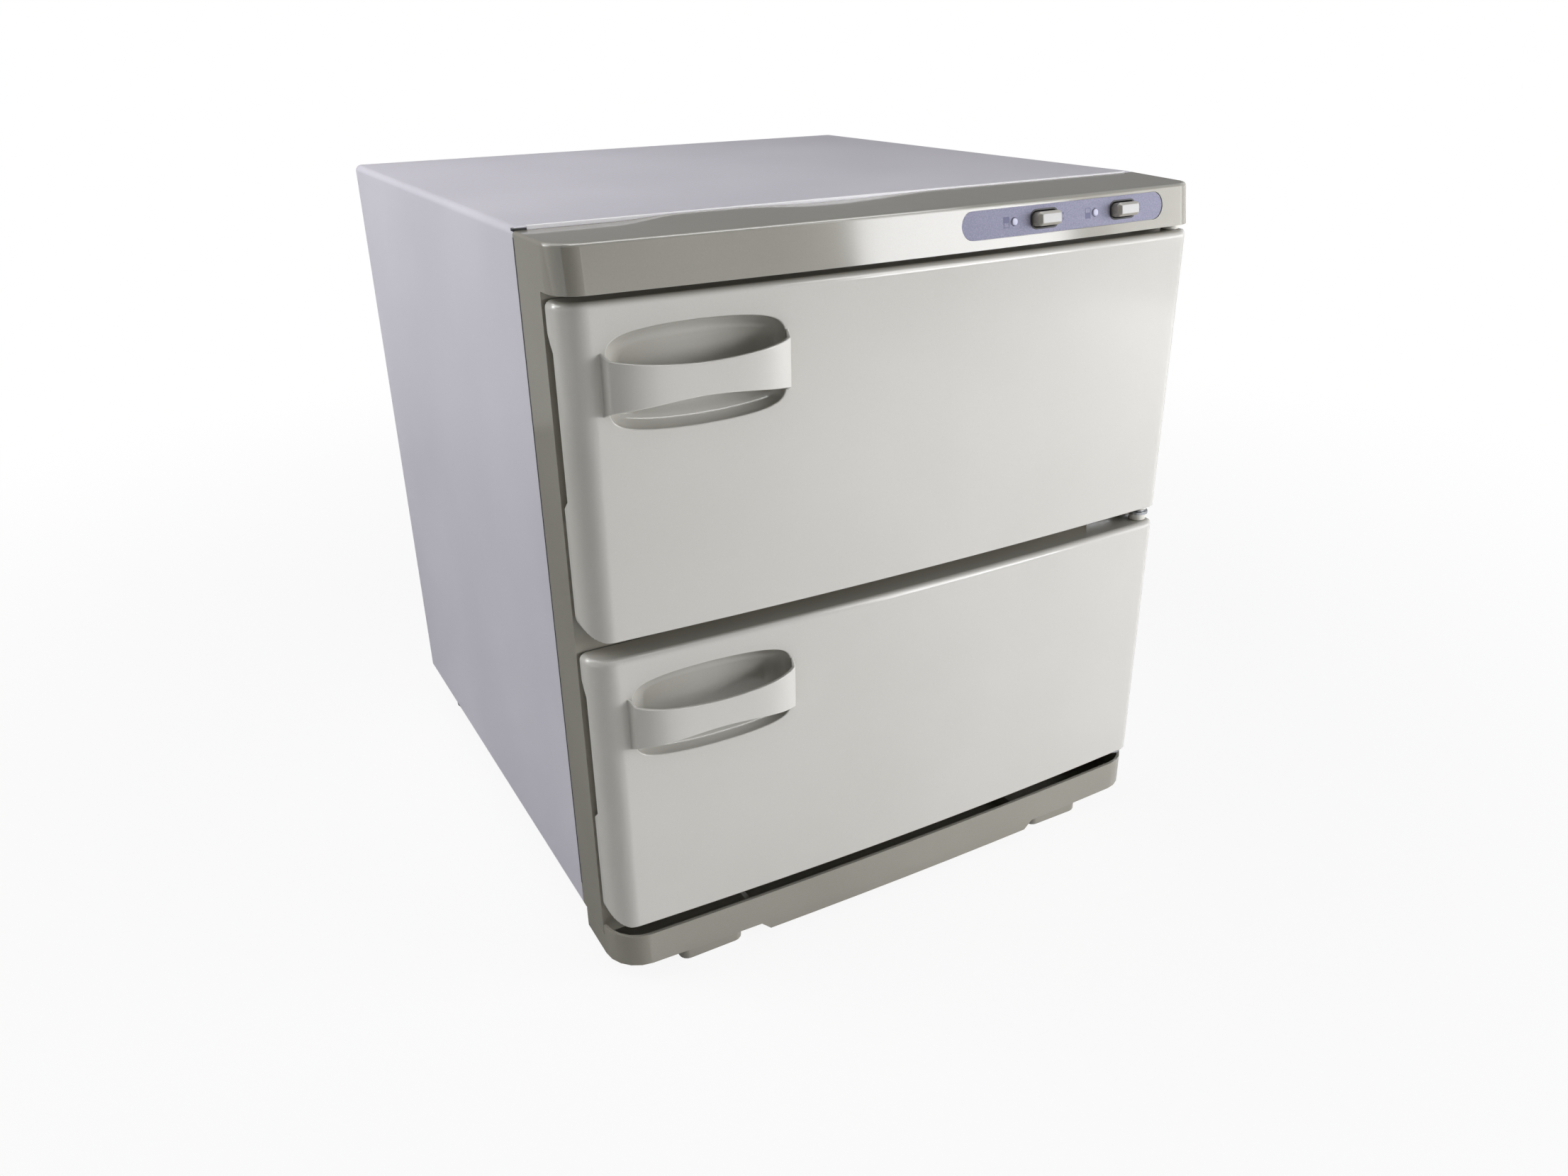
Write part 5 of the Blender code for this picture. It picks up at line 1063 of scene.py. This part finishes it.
def makeRepeats():
    rack, screws, vents = repeatSet["rack"], repeatSet["screws"], repeatSet["vents"]
    tree = rackTree()
    for level in ("upper", "lower"):
        low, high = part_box(level + "_rack")
        middle, size = (low + high) / 2, high - low
        runTree(level + "_rack_wires", tree, bodyOf[level + "_rack"], "chrome_wire", {
            "Wire Radius": rack["wire"], "Wire Length": size.y, "Wires": rack["wires"],
            "Wire Span": size.x - 2 * rack["edge"], "Wire Lift": size.z - rack["wire"] - rack["bearer"],
            "Bearer Radius": rack["bearer"], "Bearer Length": size.x, "Bearers": rack["bearers"],
            "Bearer Span": size.y - 2 * rack["inset"], "Place": (middle.x, middle.y, low.z + rack["bearer"]),
        }, level + "_rack")
    low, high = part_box("rear_panel")
    body, facing = bodyOf["rear_panel"], (-0.5 * math.pi, 0.0, 0.0)
    runTree("rear_panel_screws", screwTree(), body, "plain_steel", {
        "Radius": screws["radius"], "Height": screws["height"], "Width": high.x - low.x - 2 * screws["edge"],
        "Length": high.z - low.z - 2 * screws["end"], "Rows": screws["rows"],
        "Place": (0.0, high.y - screws["sink"], (low.z + high.z) / 2), "Turn": facing,
    })
    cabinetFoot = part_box("outer_shell")[0].z
    runTree("rear_vent_lips", ventTree(), body, "shell_paint", {
        "Slot Length": vents["length"], "Slot Width": vents["width"], "Lip": vents["lip"],
        "Width": vents["apart"], "Length": vents["pitch"] * (vents["rows"] - 1), "Rows": vents["rows"],
        "Place": (0.0, high.y, cabinetFoot + vents["above"]), "Turn": facing,
    })


makeRepeats()
print("racks, screws and vent lips made")

# closed-in pieces keep their CAD solids
keptFinishes = {"terminal_block": "terminal_white", "wiring_loom": "loom_sleeve"}
for side in ("left", "right"):
    keptFinishes["switch_body_" + side] = "switch_black"
for level in ("upper", "lower"):
    keptFinishes.update({
        level + "_insulation": "glass_wool", level + "_heater": "heater_sheath",
        level + "_thermostat": "bakelite", level + "_thermal_fuse": "terminal_white",
        level + "_door_foam": "core_foam",
    })
for node, finish in keptFinishes.items():
    nodes[node].data.materials.clear()
    nodes[node].data.materials.append(materials[finish])

# floor, world and lights
stageSet = {
    "size": 9.0, "pale": 0.86, "bright": 0.90, "clear": (0.45, 1.5), "mirrored": 0.30, "ambient": 0.07,
}
lightSet = {
    "window": {"place": (0.97, -1.45, 0.60), "aim": (0.1, -0.2, 0.42), "size": (0.50, 0.34), "watts": 6.6,
               "tint": (0.98, 0.985, 1.02)},
    "key": {"place": (1.9, -1.25, 0.62), "aim": (0.05, -0.2, 0.3), "size": (0.9, 0.9), "watts": 32.5,
            "tint": (0.98, 0.985, 1.02), "gloss": False},
    "front": {"place": (-0.25, -2.6, 0.55), "aim": (0, -0.2, 0.3), "size": (1.0, 0.7), "watts": 4.7,
              "tint": (1, 0.995, 0.97)},
    "top": {"place": (-0.58, 0.20, 1.10), "aim": (-0.14, 0.0, 0.45), "size": (0.7, 0.7), "watts": 3.9,
            "tint": (1, 0.99, 1)},
    "left": {"place": (-1.9, 1.0, 1.25), "aim": (-0.2, 0.05, 0.25), "size": (1.2, 1.2), "watts": 18.0,
             "tint": (0.98, 1, 1)},
}
# cards that only reflections see, dark and bright, as they stand round a glossy subject
flagSet = {
    "back": {"place": (0.1, 1.0, 0.55), "turn": (90, 0, 0), "size": (3.4, 1.3), "level": 0.28},
    "left": {"place": (-0.60, -1.155, 0.35), "turn": (90, 0, -23.7), "size": (1.27, 0.9), "level": 0.04},
    "underLeft": {"place": (-0.80, -0.1, 0.003), "turn": (0, 0, 0), "size": (1.2, 2.4), "level": 0.06},
    "windowHead": {"place": (1.02, -1.41, 1.35), "turn": (90, 0, 37), "size": (0.5, 1.1), "level": 7.0},
    "pane": {"place": (-1.43, 0.65, 1.02), "turn": (90, 0, 53), "size": (0.16, 0.16), "level": 25.0},
    "side": {"place": (1.9, -1.25, 0.66), "turn": (90, 0, 61), "size": (0.9, 0.9), "level": 4.0},
    "ceiling": {"place": (0.35, -0.10, 1.90), "turn": (0, 0, 0), "size": (1.5, 1.1), "level": 8.0},
}


def seenWhite(tree, x, y, bright, mirrored):
    # share of plain white in what the lens, glass and gloss see
    path = addNode(tree, "ShaderNodeLightPath", x, y)
    ray = path.outputs
    seen = addMath(tree, "MAXIMUM", x + 200, y, ray["Is Camera Ray"], ray["Is Transmission Ray"])
    gloss = addMath(tree, "MULTIPLY", x + 200, y - 150, ray["Is Glossy Ray"], mirrored)
    return addMath(tree, "MAXIMUM", x + 500, y, addMath(tree, "MULTIPLY", x + 350, y, seen, bright), gloss)


def mixWhite(tree, share, lit, white, out):
    mix = addNode(tree, "ShaderNodeMixShader", 250, 0)
    for source, socket in zip((share, lit.outputs[0], white.outputs[0]), mix.inputs):
        tree.links.new(source, socket)
    tree.links.new(mix.outputs[0], addNode(tree, out, 450, 0).inputs[0])


def clearedFloor(tree, x, y):
    # the floor takes a shadow near the object and clears to white further out
    coords = addNode(tree, "ShaderNodeTexCoord", x, y)
    reach = addNode(tree, "ShaderNodeVectorMath", x + 150, y, operation="LENGTH")
    tree.links.new(coords.outputs["Object"], reach.inputs[0])
    share = addNode(tree, "ShaderNodeMapRange", x + 300, y, interpolation_type="SMOOTHSTEP")
    share.inputs["From Min"].default_value, share.inputs["From Max"].default_value = stageSet["clear"]
    share.inputs["To Min"].default_value, share.inputs["To Max"].default_value = stageSet["bright"], 1.0
    tree.links.new(reach.outputs["Value"], share.inputs["Value"])
    return share.outputs[0]


bm = bmesh.new()
bmesh.ops.create_grid(bm, x_segments=1, y_segments=1, size=stageSet["size"] / 2)
floor = meshPiece("studio_floor", bm)
floorLook = bpy.data.materials.new("studio_floor")
floorLook.use_nodes = True
tree = floorLook.node_tree
tree.nodes.clear()
diffuse = addNode(tree, "ShaderNodeBsdfDiffuse", 0, 100)
diffuse.inputs["Color"].default_value = (*[stageSet["pale"]] * 3, 1)
glow = addNode(tree, "ShaderNodeEmission", 0, -100)
glow.inputs["Strength"].default_value = 1.0
share = seenWhite(tree, -600, 250, clearedFloor(tree, -1000, 400), stageSet["mirrored"])
mixWhite(tree, share, diffuse, glow, "ShaderNodeOutputMaterial")
floor.data.materials.append(floorLook)

world = bpy.data.worlds.new("studio")
world.use_nodes = True
scene.world = world
tree = world.node_tree
tree.nodes.clear()
soft = addNode(tree, "ShaderNodeBackground", 0, 100)
soft.inputs["Strength"].default_value = stageSet["ambient"]
white = addNode(tree, "ShaderNodeBackground", 0, -100)
for background in (soft, white):
    background.inputs["Color"].default_value = (1, 1, 1, 1)
mixWhite(tree, seenWhite(tree, -600, 250, 1.0, 1.0), soft, white, "ShaderNodeOutputWorld")

for name, s in flagSet.items():
    bm = bmesh.new()
    bmesh.ops.create_grid(bm, x_segments=1, y_segments=1, size=0.5)
    turn = Euler([math.radians(angle) for angle in s["turn"]]).to_matrix().to_4x4()
    bm.transform(Matrix.Translation(s["place"]) @ turn @ Matrix.Diagonal((*s["size"], 1, 1)))
    flag = meshPiece(name + "_flag", bm)
    look = bpy.data.materials.new(name + "_flag")
    look.use_nodes = True
    tree = look.node_tree
    tree.nodes.clear()
    glow = addNode(tree, "ShaderNodeEmission", 0, 0)
    glow.inputs["Color"].default_value = (1, 1, 1, 1)
    glow.inputs["Strength"].default_value = s["level"]
    tree.links.new(glow.outputs[0], addNode(tree, "ShaderNodeOutputMaterial", 200, 0).inputs[0])
    flag.data.materials.append(look)
    flag.visible_camera = flag.visible_diffuse = flag.visible_shadow = flag.visible_transmission = False

for name, s in lightSet.items():
    data = bpy.data.lights.new(name + "_softbox", "AREA")
    data.shape = "RECTANGLE"
    data.size, data.size_y = s["size"]
    data.energy = s["watts"]
    data.color = s["tint"]
    lamp = bpy.data.objects.new(name + "_softbox", data)
    lamp.location = s["place"]
    lamp.rotation_euler = (Vector(s["aim"]) - Vector(s["place"])).to_track_quat("-Z", "Y").to_euler()
    lamp.visible_camera = False
    lamp.visible_glossy = s.get("gloss", True)
    scene.collection.objects.link(lamp)
print("stage lit")
